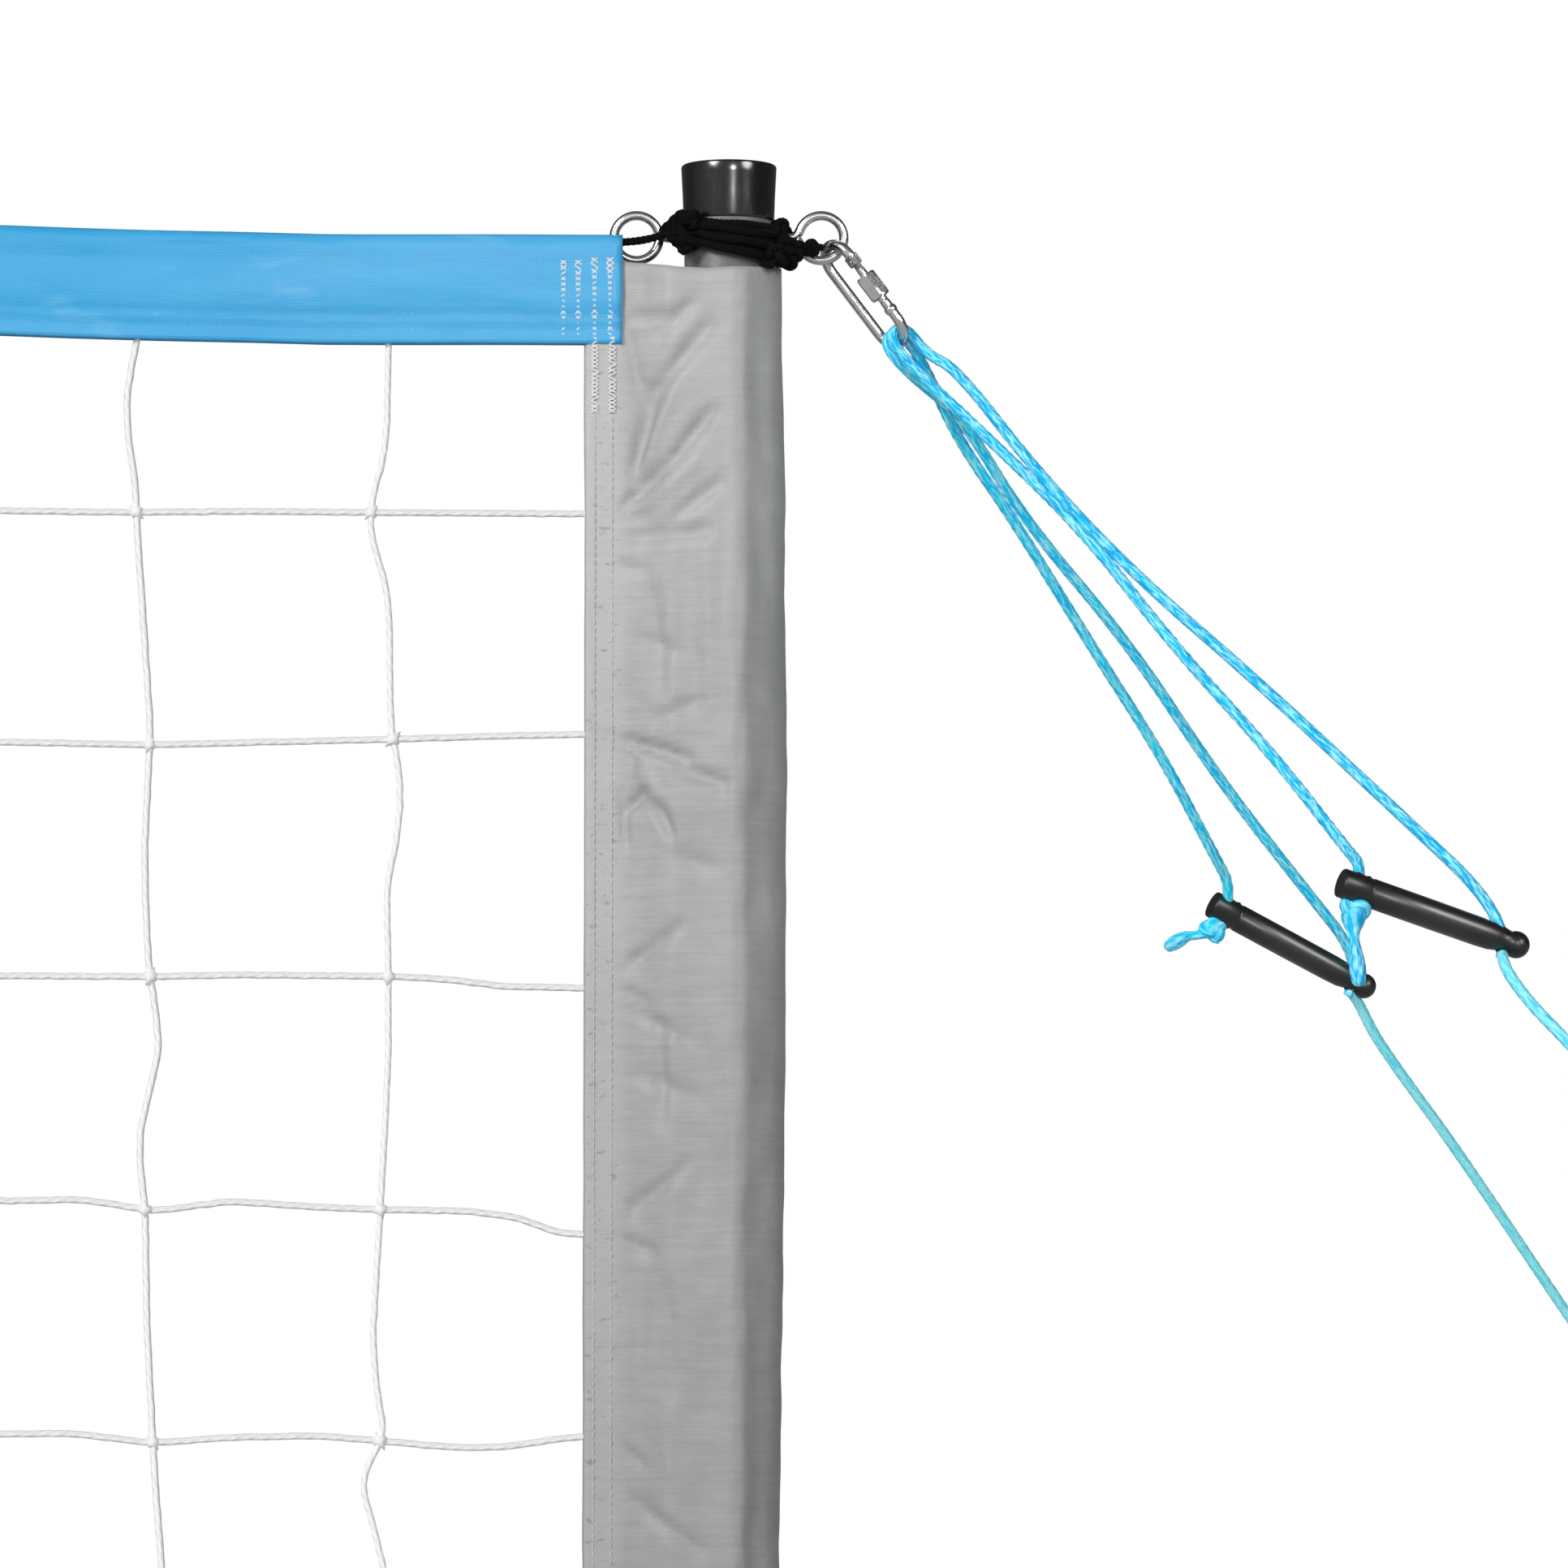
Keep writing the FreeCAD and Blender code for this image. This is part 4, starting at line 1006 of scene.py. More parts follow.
# Lower poles, collars and stakes
def ribbed_collar():
    z0, z1 = 1152.0, 1212.0
    inner = LOWER_R + 0.35
    profile = [(inner, z0), (25.6, z0), (26.4, z0 + 0.8), (27.0, z0 + 2.5), (27.0, z1 - 12),
               (26.4, z1 - 8.5), (24.2, z1 - 1.2), (23.5, z1), (UPPER_R + 0.9, z1),
               (UPPER_R + 0.5, z1 - 0.5), (UPPER_R + 0.5, 1203.2), (inner, 1203.2)]
    corners = np.array(profile)
    profile = [a + (b - a) * k / 3 for a, b in zip(corners, corners[1:]) for k in range(3)]
    profile.append(corners[-1])
    t = 2 * math.pi * np.arange(144) / 144
    rib = np.clip(np.cos(12 * t) * 2.4 - 1.0, 0, 1)
    rows = []
    for r, z in profile:
        swell = 1.3 * np.clip((r - 26.0) / 0.9, 0, 1) * np.clip((z - z0 - 2) / 3, 0, 1)
        rr = r + swell * rib * np.clip((z1 - 9 - z) / 4, 0, 1)
        rows.append(np.stack([rr * np.cos(t), rr * np.sin(t), np.full(144, z)], axis=1))
    return grid(np.array(rows), ring=True).outward()


def lower_tube(z0, z1, spigot=0.0):
    r, bore = LOWER_R, LOWER_R - WALL
    wall = [(r - 0.3, z0), (r, z0 + 0.4), (r, z1 - 0.4), (r - 0.3, z1), (bore, z1)]
    outline = [(bore, z0)] + wall
    if spigot:
        s = bore - 0.1
        outline = [(s - 1.8, z0 - spigot), (s - 1.0, z0 - spigot), (s, z0 - spigot + 1.5),
                   (s, z0)] + wall + [(bore, z0 + 12), (s - 2.0, z0)]
    return spun(outline, 72, hollow=True)


def foot_cup():
    r = LOWER_R + 0.1
    return spun([(0.02, 0), (25.4, 0), (26.6, 0.4), (27.3, 1.2), (27.5, 2.2), (27.5, 5.4),
                 (27.0, 6.6), (r + 2.9, 10.0), (r + 2.4, 12.0), (r + 2.1, 40.0), (r + 1.7, 41.0),
                 (r, 41.0), (r, 5.0), (0.02, 5.0)], 72)


def stake(which):
    end, down, out = line_end(which)
    foot = np.array((STAKE_X, SETS[which]["y"], 0.0))
    top = foot - down * 44
    low = foot + down * (208 / math.cos(math.radians(STAKE_LEAN)))
    flat = unit(out - down * np.dot(out, down))
    r = 10.0
    centre = top + flat * r
    hook = arc_points(centre, -flat, -down, r, 0, 180, 28)
    line = np.vstack([np.linspace(low, top, 90), hook[1:],
                      [top + flat * 2 * r + down * k for k in (3.0, 6.0, 9.0, 12.5)]])
    line = even(line, 1.6)
    tip = np.vstack([low + down * k for k in (22.0, 21.0, 17.0, 12.0, 6.0, 1.0)])
    radius = np.concatenate([(0.5, 0.75, 1.3, 1.95, 2.8, 3.45),
                             np.full(len(line), STAKE_R - 0.02)])
    return tube(np.vstack([tip, line]), radius, 20)


def foot_lashing():
    b = NET_BOTTOM
    strands = [
        [around(-50, b - 7, 2.5)] + [around(a, b - 5 + 0.6 * math.sin(a / 30))
                                     for a in range(-20, 330, 35)],
        [around(-40, b - 8, 2.5)] + [around(a, b - 9 + 0.8 * math.sin(a / 40 + 1))
                                     for a in range(-15, 330, 35)],
        [around(-62, b - 6, 2.0), around(-30, b - 4, 3.0), around(5, b - 8, 3.1),
         around(35, b - 11, 1.5), around(60, b - 11.5, 0.5)],
    ]
    made = [laid(strand, 0.9, TIE_CORD / 2) for strand in strands]
    made.append(tube(knot_line((-18.2, -16.4, b - 7), unit((1.0, -0.2, -0.4)), unit((0.4, 0, 1)),
                               1.6, 1.5), 1.6, 12, closed=True, relief=TIE_BRAID))
    lead = [(-47, NET_Y, b + 3.3), (-42, NET_Y - 0.6, b + 2.5), (-37, NET_Y - 2, b - 2),
            (-30, NET_Y - 4, b - 6), (-19.5, -14, b - 7)]
    made.append(laid(lead, 0.8, 1.45))
    return together(*made)


# Threads, twines and knots, made by geometry trees
class Tree:
    """A geometry tree whose sizes have names."""

    def __init__(self, name, sizes):
        self.tree = bpy.data.node_groups.new(name, "GeometryNodeTree")
        for way in ("INPUT", "OUTPUT"):
            self.tree.interface.new_socket("Geometry", in_out=way,
                                           socket_type="NodeSocketGeometry")
        self.keys = {}
        for size, kind in sizes.items():
            socket = self.tree.interface.new_socket(size, in_out="INPUT",
                                                    socket_type="NodeSocket" + kind)
            self.keys[size] = socket.identifier
        self.start = self.tree.nodes.new("NodeGroupInput")
        self.end = self.tree.nodes.new("NodeGroupOutput")

    def size(self, name):
        return self.start.outputs[name]

    def add(self, kind, settings=None, inputs=None, output=0):
        made = self.tree.nodes.new(kind if "Node" in kind else "GeometryNode" + kind)
        for key, value in (settings or {}).items():
            setattr(made, key, value)
        for key, value in (inputs or {}).items():
            if isinstance(value, bpy.types.NodeSocket):
                self.tree.links.new(value, made.inputs[key])
            else:
                made.inputs[key].default_value = value
        return made.outputs[output]

    def keep(self, name, measure, geometry):
        """Stores how far along its curve each point is."""
        value = self.add("SplineParameter", output=measure)
        return self.add("StoreNamedAttribute", {"data_type": "FLOAT", "domain": "POINT"},
                        {"Geometry": geometry, "Name": name, "Value": value})

    def finish(self, geometry):
        made = self.add("SetMaterial", None,
                        {"Geometry": geometry, "Material": self.size("Finish")})
        self.tree.links.new(made, self.end.inputs[0])
        return self

    def run(self, mesh, values):
        """The tree's result on a mesh, as a plain mesh."""
        holder = added("holder", mesh)
        modifier = holder.modifiers.new("tree", "NODES")
        modifier.node_group = self.tree
        for name, value in values.items():
            modifier[self.keys[name]] = value
        result = as_mesh(holder)
        bpy.data.objects.remove(holder)
        return result


def thread_tree():
    t = Tree("threads_along_lines",
             {"Thread Radius": "Float", "Sides": "Int", "Finish": "Material"})
    curve = t.add("MeshToCurve", None, {"Mesh": t.start.outputs[0]})
    curve = t.keep("along", "Length", curve)
    curve = t.add("SetCurveRadius", None, {"Curve": curve, "Radius": 1.0})
    ring = t.add("CurvePrimitiveCircle", {"mode": "RADIUS"},
                 {"Resolution": t.size("Sides"), "Radius": t.size("Thread Radius")})
    ring = t.keep("around", "Factor", ring)
    mesh = t.add("CurveToMesh", None,
                 {"Curve": curve, "Profile Curve": ring, "Fill Caps": True})
    mesh = t.add("RealizeInstances", None, {"Geometry": mesh})
    return t.finish(t.add("SetShadeSmooth", None, {"Geometry": mesh, "Shade Smooth": True}))


def knot_tree():
    t = Tree("knots_at_crossings", {"Knot": "Object", "Seed": "Int", "Finish": "Material"})
    knot = t.add("ObjectInfo", {"transform_space": "ORIGINAL"}, {"Object": t.size("Knot")},
                 "Geometry")
    turn = t.add("FunctionNodeRandomValue", {"data_type": "FLOAT_VECTOR"},
                 {"Min": (-0.25, -0.9, -0.25), "Max": (0.25, 0.9, 0.25), "Seed": t.size("Seed")})
    grow = t.add("FunctionNodeRandomValue", {"data_type": "FLOAT"},
                 {2: 0.88, 3: 1.15, "Seed": t.size("Seed")}, 1)
    made = t.add("InstanceOnPoints", None, {"Points": t.start.outputs[0], "Instance": knot,
                                            "Rotation": turn, "Scale": grow})
    return t.finish(t.add("RealizeInstances", None, {"Geometry": made}))


THREADS = thread_tree()
KNOTS = knot_tree()


def lines_mesh(lines, side):
    """Loose edges through each line of points in mm, in metres."""
    verts, edges = [], []
    for line in lines:
        base = len(verts)
        verts += [tuple(c / 1000 for c in p) if side == "middle" else in_frame(side, p)
                  for p in line]
        edges += [(base + k, base + k + 1) for k in range(len(line) - 1)]
    mesh = bpy.data.meshes.new("lines")
    mesh.from_pydata(verts, edges, [])
    return mesh


def threaded(name, side, lines, radius, finish, sides, node=None):
    """A piece of round threads along lines of points in mm, on the root body."""
    name = full(side, name)
    mesh = THREADS.run(lines_mesh(lines, side),
                       {"Thread Radius": radius / 1000, "Sides": sides, "Finish": finish})
    mesh.name = name
    return belong(added(name, mesh), side, ROOT, node)


# Net. Each twine sags and bows between its knots; near the pole they lie as in the photograph.
UPRIGHT_LIE = {
    1: [(1311, -147.5), (1480, -150.0), (1600, -142.0), (1669, -145.1), (1688, -150.0),
        (1705, -154.9), (1716, -151.0), (1726, -145.1), (1745, -148.5), (1767, -150.3),
        (1800, -148.5), (1823, -147.2), (1855, -145.5), (1889, -144.1), (1925, -144.3),
        (1958, -145.1), (1978, -141.0), (1996, -139.2), (2012, -140.5), (2022, -143.0),
        (2035, -143.8), (2076, -144.4), (2092, -147.0), (2106, -151.8), (2116, -152.6),
        (2126, -151.6), (2140, -147.5), (2152, -145.8), (2193, -145.1), (2217, -147.0)],
    2: [(1311, -251.0), (1500, -246.0), (1620, -240.0), (1669, -238.9), (1700, -241.5),
        (1724, -243.1), (1771, -245.8), (1823, -246.9), (1838, -249.0), (1854, -249.3),
        (1871, -245.5), (1889, -241.3), (1905, -242.8), (1923, -245.8), (1950, -247.4),
        (1975, -247.9), (2026, -245.8), (2050, -247.5), (2076, -249.3), (2105, -251.5),
        (2120, -252.3), (2131, -252.8), (2150, -255.9), (2166, -256.9), (2180, -255.0),
        (2194, -252.1), (2217, -250.0)],
}
LEVEL_LIE = {
    1: [(-330, 2121.0), (-260, 2120.0), (-200, 2120.4), (-150, 2119.9), (-60, 2119.3)],
    2: [(-330, 2022.0), (-246, 2020.4), (-195, 2021.6), (-143, 2022.8), (-96, 2024.2),
        (-60, 2024.9)],
    3: [(-330, 1922.0), (-246, 1921.6), (-205, 1922.3), (-144, 1921.7), (-120, 1920.5),
        (-96, 1917.4), (-60, 1916.7)],
    4: [(-330, 1826.0), (-273, 1826.9), (-243, 1822.0), (-211, 1826.2), (-173, 1823.6),
        (-147, 1822.7), (-110, 1822.0), (-89, 1819.3), (-72, 1812.6), (-60, 1812.0)],
    5: [(-330, 1727.5), (-277, 1728.0), (-243, 1723.9), (-211, 1726.3), (-173, 1727.0),
        (-144, 1724.6), (-117, 1722.1), (-96, 1722.1), (-72, 1725.6), (-60, 1727.0)],
}


def sway(a, b, seed):
    """A gentle wander between -1 and 1."""
    return noise.noise(Vector((a, b, seed))) * 1.6


def smooth_table(table, at):
    """A table's value with its corners rounded."""
    places, values = zip(*table)
    return float(sum(share * np.interp(at + shift, places, values) for shift, share in
                     ((-6, 0.15), (-3, 0.2), (0, 0.3), (3, 0.2), (6, 0.15))))


def upright_x(column, z):
    """Where an upright twine is, from the middle of the court, at a height."""
    x = HALF + FIRST_COLUMN - column * MESH_COLUMN
    wide = 3.4 * sway(column * 7.3, z / 75, 3.1) + 4.0 * sway(column * 0.45, z / 400, 9.7)
    if column == 0 or column == COLUMNS:
        return x
    if column in UPRIGHT_LIE:
        return HALF + smooth_table(UPRIGHT_LIE[column], z)
    if COLUMNS - column in UPRIGHT_LIE:
        return -HALF - smooth_table(UPRIGHT_LIE[COLUMNS - column], z) + 0.5 * wide
    return x + wide


def level_z(row, x):
    """Height of a level twine at a distance from the middle of the court."""
    z = FIRST_ROW - row * MESH_ROW
    free = z + 2.2 * sway(x / 80, row * 5.7, 5.5) + 2.6 * sway(x / 420, row * 0.8, 1.9)
    if row == 0 or row == ROWS:
        return z
    from_pole = abs(x) - HALF
    if row in LEVEL_LIE and from_pole > -430:
        lie = smooth_table(LEVEL_LIE[row], max(from_pole, -330)) - 1.4
        if x < 0:
            lie = z + (lie - z) * 0.8
        share = min(1.0, max(0.0, (from_pole + 430) / 100))
        return free + (lie - free) * share
    return free


def net():
    near = HALF - 420
    last = HALF + FIRST_COLUMN - 1.5
    dense = np.arange(near, last, 4.0)
    level_at = np.concatenate([-dense[::-1], np.arange(-near, near, 14.0), dense, [last]])
    levels = [[(x, NET_Y + 0.5 * sway(x / 9, r, 2.2), level_z(r, x) + 0.25 * sway(x / 5, r, 4.0))
               for x in level_at] for r in range(ROWS + 1)]
    uprights = []
    for c in range(COLUMNS + 1):
        step = 4.0 if min(c, COLUMNS - c) < 4 else 12.0
        uprights.append([(upright_x(c, z) + 0.25 * sway(z / 5, c, 6.0),
                          NET_Y + 0.5 * sway(z / 9, c, 8.8), z)
                         for z in np.arange(NET_BOTTOM + 14.0, 2222.0, step)])
    threaded("net_level_twines", "middle", levels, TWINE_R, TWINE, 8, "net_mesh")
    threaded("net_upright_twines", "middle", uprights, TWINE_R, TWINE, 8)
    spots = []
    for c in range(1, COLUMNS):
        for r in range(ROWS + 1):
            z = FIRST_ROW - r * MESH_ROW
            for _ in range(4):
                x = upright_x(c, z)
                z = level_z(r, x)
            spots.append((x / 1000, NET_Y / 1000, z / 1000))
    mesh = bpy.data.meshes.new("crossings")
    mesh.from_pydata(spots, [], [])
    knot = added("knot", net_knot())
    made = KNOTS.run(mesh, {"Knot": knot, "Seed": 11, "Finish": TWINE})
    made.name = "net_knots"
    belong(added("net_knots", made), "middle", ROOT)
    bpy.data.objects.remove(knot)


def net_knot():
    """One twine bent round the other: a small lump with a flare along each arm."""
    bm = bmesh.new()
    bmesh.ops.create_uvsphere(bm, u_segments=10, v_segments=7, radius=0.0032)
    for v in bm.verts:
        a = math.atan2(v.co.z, v.co.x)
        flare = 0.72 + 0.62 * max(0.0, math.cos(4 * a)) ** 2
        v.co.x *= flare
        v.co.z *= flare
        v.co.y *= 0.95 + 0.15 * math.cos(2 * a + 0.8)
    for f in bm.faces:
        f.smooth = True
    mesh = bpy.data.meshes.new("knot")
    bm.to_mesh(mesh)
    bm.free()
    return mesh


# Side sleeves: how far the cloth stands off the pole at each height
SLEEVE_TOP = 2221.0
SLEEVE_LOW = NET_BOTTOM + 8.0
SWELL = ((SLEEVE_LOW, 3.0), (1480.0, 2.0), (1660.0, 1.4), (1850.0, 3.4), (2010.0, 4.7),
         (2130.0, 3.4), (SLEEVE_TOP, 2.3))
# Creases on the front: from and to as (x, z), half width, depth; a minus is a ridge. The first
# are the broad folds that fan out from the first two rows of the net.
CREASES = [
    ((-41.1, 2134.5), (-32.2, 2172.1), 4.2, 2.2), ((-32.2, 2172.1), (-9.0, 2199.8), 4.2, 1.8),
    ((-36.0, 2141.0), (-24.0, 2170.0), 3.2, -1.2), ((-44.9, 2123.5), (-22.2, 2144.5), 3.4, 2.2),
    ((-22.2, 2144.5), (-6.7, 2164.4), 3.6, 1.8), ((-33.0, 2124.0), (-12.0, 2143.0), 2.6, -1.1),
    ((-24.5, 2116.8), (-2.3, 2134.5), 3.4, 1.4), ((-43.3, 2109.1), (-9.0, 2112.4), 3.2, 1.7),
    ((-47.0, 2117.5), (-34.0, 2118.5), 1.6, 1.6), ((-47.0, 2120.5), (-36.5, 2128.0), 1.4, 1.6),
    ((-44, 2203), (-27, 2204), 1.6, 0.9), ((-38, 2208), (-22, 2209), 2.4, -0.9),
    ((-30, 2196), (-14, 2211), 3.4, 1.1), ((-45, 2200), (-36, 2164), 3.2, 1.3),
    ((-48, 2096), (-34, 2095), 1.6, 1.0), ((-50, 2098), (-42, 2097), 1.4, 1.0),
    ((-33, 2085), (-28, 2045), 5.0, 1.1), ((-17, 2108), (-16, 2050), 6.5, 0.6),
    ((-9, 2104), (-9, 2036), 5.0, -0.7), ((-38, 2066), (-20, 2060), 3.2, 0.9),
    ((-54, 2025), (-36, 2020), 2.2, 2.2), ((-36, 2020), (-17, 2015), 2.8, 2.4),
    ((-50, 2020), (-38, 2012), 2.0, 1.6), ((-46, 2000), (-44, 1978), 2.4, 2.3),
    ((-44, 1992), (-34, 2001), 2.2, 2.0), ((-31, 1996), (-24, 1982), 3.0, 2.0),
    ((-20, 2010), (-2, 2005), 3.4, 1.9), ((-38, 2012), (-30, 1997), 3.0, -1.5),
    ((-30, 2032), (-12, 2040), 3.4, 1.1), ((-24, 1975), (-6, 1968), 4.0, 1.0),
    ((-50, 1917), (-34, 1911), 1.8, 1.5), ((-44, 1925), (-20, 1944), 3.0, 1.3),
    ((-42, 1908), (-18, 1896), 3.2, 1.0), ((-36, 1880), (-12, 1870), 4.2, 0.9),
    ((-50, 1812), (-32, 1805), 2.0, 1.4), ((-42, 1822), (-18, 1842), 3.2, 1.2),
    ((-50, 1725), (-36, 1716), 1.8, 1.4), ((-40, 1700), (-12, 1680), 3.4, 1.2),
    ((-30, 1900), (-28, 1860), 4.5, 1.2), ((-26, 1790), (-24, 1745), 4.5, 1.1),
    ((-50, 1628), (-36, 1620), 2.0, 1.4), ((-40, 1640), (-12, 1664), 3.4, 1.3),
    ((-28, 1606), (-24, 1560), 4.5, 1.1), ((-50, 1529), (-34, 1521), 2.0, 1.4),
    ((-42, 1500), (-10, 1480), 3.4, 1.4), ((-34, 1560), (-12, 1540), 4.0, 0.9),
    ((-50, 1431), (-34, 1422), 2.0, 1.4), ((-40, 1402), (-8, 1380), 3.6, 1.4),
    ((-34, 1460), (-10, 1444), 4.0, 0.9), ((-36, 1348), (-6, 1362), 4.0, 1.4),
]


def sleeve_ring(swell, z):
    """Teardrop round the pole that narrows to the flat hem at the net side."""
    r = UPPER_R + swell + 1.2
    corner = 4.945 + 0.05 * sway(z / 46, 6.0, 2.0)
    front, back = NET_Y - 2.7, NET_Y + 2.7
    points = [(-61.6, front), (-45.5, front), (-37.0, front - 2.4),
              (-25.0, front - 8.2 - 0.4 * swell)]
    for k in range(27):
        t = math.radians(246 + 9.2 * k)
        reach = (r + 1.9 * math.exp(-((t - corner) / 0.15) ** 2)
                 - min(1.7, swell + 0.2) * math.exp(-((t - 5.42) / 0.38) ** 2))
        points.append((reach * math.cos(t), reach * math.sin(t)))
    points += [(-27.0, back + 7.5 + 0.4 * swell), (-37.0, back + 1.6), (-45.5, back),
               (-61.6, back), (-61.6, front)]
    line = np.array([(x, y, 0.0) for x, y in points])
    line = even(line, lengths(line)[-1] / 140)[:-1]
    for _ in range(2):
        line = (np.roll(line, 1, axis=0) + line + np.roll(line, -1, axis=0)) / 3
    return line


def crease_depth(x, z):
    depth = 0.0
    for (x0, z0), (x1, z1), width, deep in CREASES:
        if not min(z0, z1) - 14 < np.mean(z) < max(z0, z1) + 14:
            continue
        d = np.array((x1 - x0, z1 - z0), float)
        t = np.clip(((x - x0) * d[0] + (z - z0) * d[1]) / (d @ d), 0, 1)
        gap = np.hypot(x - x0 - t * d[0], z - z0 - t * d[1]) / 0.82
        ends = np.sin(np.pi * np.clip(0.12 + 0.76 * t, 0, 1)) ** 0.6
        depth = depth + deep * ends * np.exp(-(gap / width) ** 2)
    return depth


def sleeve():
    heights = np.concatenate([np.arange(SLEEVE_LOW, 1655.0, 4.6),
                              np.linspace(1657.0, SLEEVE_TOP, 226)])
    rows = []
    for z in heights:
        swell = np.interp(z, *zip(*SWELL))
        ring = sleeve_ring(swell, z)
        ring[:, 2] = z
        out = np.roll(ring, -1, axis=0) - np.roll(ring, 1, axis=0)
        out = np.stack([out[:, 1], -out[:, 0], np.zeros(len(ring))], axis=1)
        out /= np.linalg.norm(out, axis=1)[:, None]
        if np.dot(out[70], ring[70]) < 0:
            out = -out
        front = np.clip(-out[:, 1] * 1.6, 0, 1)
        back = np.clip(out[:, 1] * 1.6, 0, 1)
        hem = np.clip((ring[:, 0] + 49) / 8, 0.25, 1)
        push = -front * 1.9 * crease_depth(ring[:, 0], z - 0.15 * ring[:, 1])
        push -= back * crease_depth(ring[:, 0] - 4, ring[:, 2] + 34)
        push += np.array([0.9 * sway(p[0] / 24, z / 60, 7 + 5 * (p[1] > 0))
                          + 0.35 * sway(p[0] / 9, z / 22, 3 + 5 * (p[1] > 0)) for p in ring])
        ridge = 0.8 + 2.4 * noise.noise(Vector((z / 38, 4.0, 1.0)))
        push += front * np.exp(-((ring[:, 0] - 0.6 - ridge) / 2.2) ** 2)
        loose = np.clip((-ring[:, 0] - 6) / 14, 0, 1)
        deepest = 0.85 * swell + (4.2 - 0.85 * swell) * loose
        push = np.clip(push, -deepest, 1.8)
        ring = ring + out * (push * hem)[:, None]
        if z > SLEEVE_TOP - 24:
            share = (z - SLEEVE_TOP + 24) / 24
            ring[:, 2] += share * np.interp(ring[:, 0], (-62, -46, -37, -22, -8, 8, 22, 26),
                                            (5.5, 5.2, 4.0, 1.7, 0.8, 1.2, 2.9, 3.4))
        rows.append(ring)
    across = lengths(np.vstack([rows[0], rows[0][:1]])) / 1000
    return grid(np.array(rows), across=across, along=(heights - SLEEVE_LOW) / 1000)


# Tapes
def tape_rise(x):
    """The tape pulls up a little between the pole and the first bay."""
    from_end = HALF - 46.0 - abs(x)
    return float(np.interp(from_end, (0, 127, 196, 266, 360, 520, 900),
                           (-1.2, -0.9, 0.7, 2.7, 4.2, 3.4, 0.0)))


def tape_half(d):
    """Half the folded tape's thickness at a distance from the fold: it closes at the seams."""
    t = min(1.0, max(0.0, (d - 24.0) / 18.0))
    return TAPE_OUT - 1.5 * t * t * (3 - 2 * t)


def tape(top):
    """The folded cloth in rows across, from one end to the other, seams pinched in."""
    edge, way = (TAPE_TOP, -1.0) if top else (NET_BOTTOM, 1.0)
    section = [(-tape_half(d), d) for d in np.linspace(TAPE_HEIGHT, FOLD, 26)]
    section += [(-TAPE_OUT * math.cos(a), FOLD * (1 - math.sin(a)))
                for a in np.linspace(0.2, math.pi - 0.2, 9)]
    section += [(tape_half(d), d) for d in np.linspace(FOLD, TAPE_HEIGHT, 26)]
    end = HALF - 45.3
    near = np.arange(end - 420, end, 4.0)
    xs = np.concatenate([[-end], -near[::-1], np.arange(-end + 470, end - 440, 55.0), near, [end]])
    rows = []
    for x in xs:
        rise = (tape_rise(x) if top else 0.0) + 0.3 * sway(x / 90, 1.0, 2.0)
        row = []
        for y, d in section:
            face = -1 if y < 0 else 1
            wave = 0.0 if d < FOLD else (0.55 * sway(x / 70, d / 26, 4 + face)
                                         + 0.25 * sway(x / 22, d / 9, 9 + face))
            pinch = sum(0.4 * math.exp(-((d - seam) / 1.6) ** 2) for seam in TAPE_SEAMS)
            pinch += 0.7 * math.exp(-((d - 12.5) / 4.0) ** 2) * (0.5 + 0.5 * sway(x / 60, 3, 1))
            row.append((x, NET_Y + y + face * (0.25 + 0.5 * wave - pinch), edge + way * d + rise))
        rows.append(row)
    rows = np.array(rows)
    shape = grid(rows, wrap=False, across=lengths(rows[0]) / 1000, along=(xs - xs[0]) / 1000)
    return shape if top else shape.flip()


# Stitching
def zigzag(x, z0, z1, y, pitch):
    """Upright row of bar stitches, some crossed; y gives the cloth's face at a height."""
    made = []
    count = int(abs(z1 - z0) / pitch)
    for k in range(count):
        a = z0 + (z1 - z0) * k / count
        b = z0 + (z1 - z0) * (k + 0.86) / count
        out = y(a)
        for turn in ((1, -1) if noise.noise(Vector((x, a * 0.3, 2))) > -0.15 else (1,)):
            lean = 1.4 * (1 if k % 2 else -1) * turn
            made.append([(x - lean, out + 0.25, a), (x, out - 0.35, (a + b) / 2),
                         (x + lean, out + 0.25, b)])
    return made


def level_seam(z_at, d):
    """A run of stitches along the front of a tape, from end to end."""
    made = []
    first = -(2 * HALF - 92.0)
    x = first
    out = tape_half(d) + 0.05
    while x < -47.0:
        length = 3.0 if x > -460 or x < first + 400 else 9.0
        z = z_at(x + HALF) + 0.15
        made.append([(x + HALF, NET_Y + 0.2 - out, z),
                     (x + HALF + length / 2, NET_Y - 0.4 - out, z),
                     (x + HALF + length, NET_Y + 0.2 - out, z)])
        x += length * 1.25
    return made


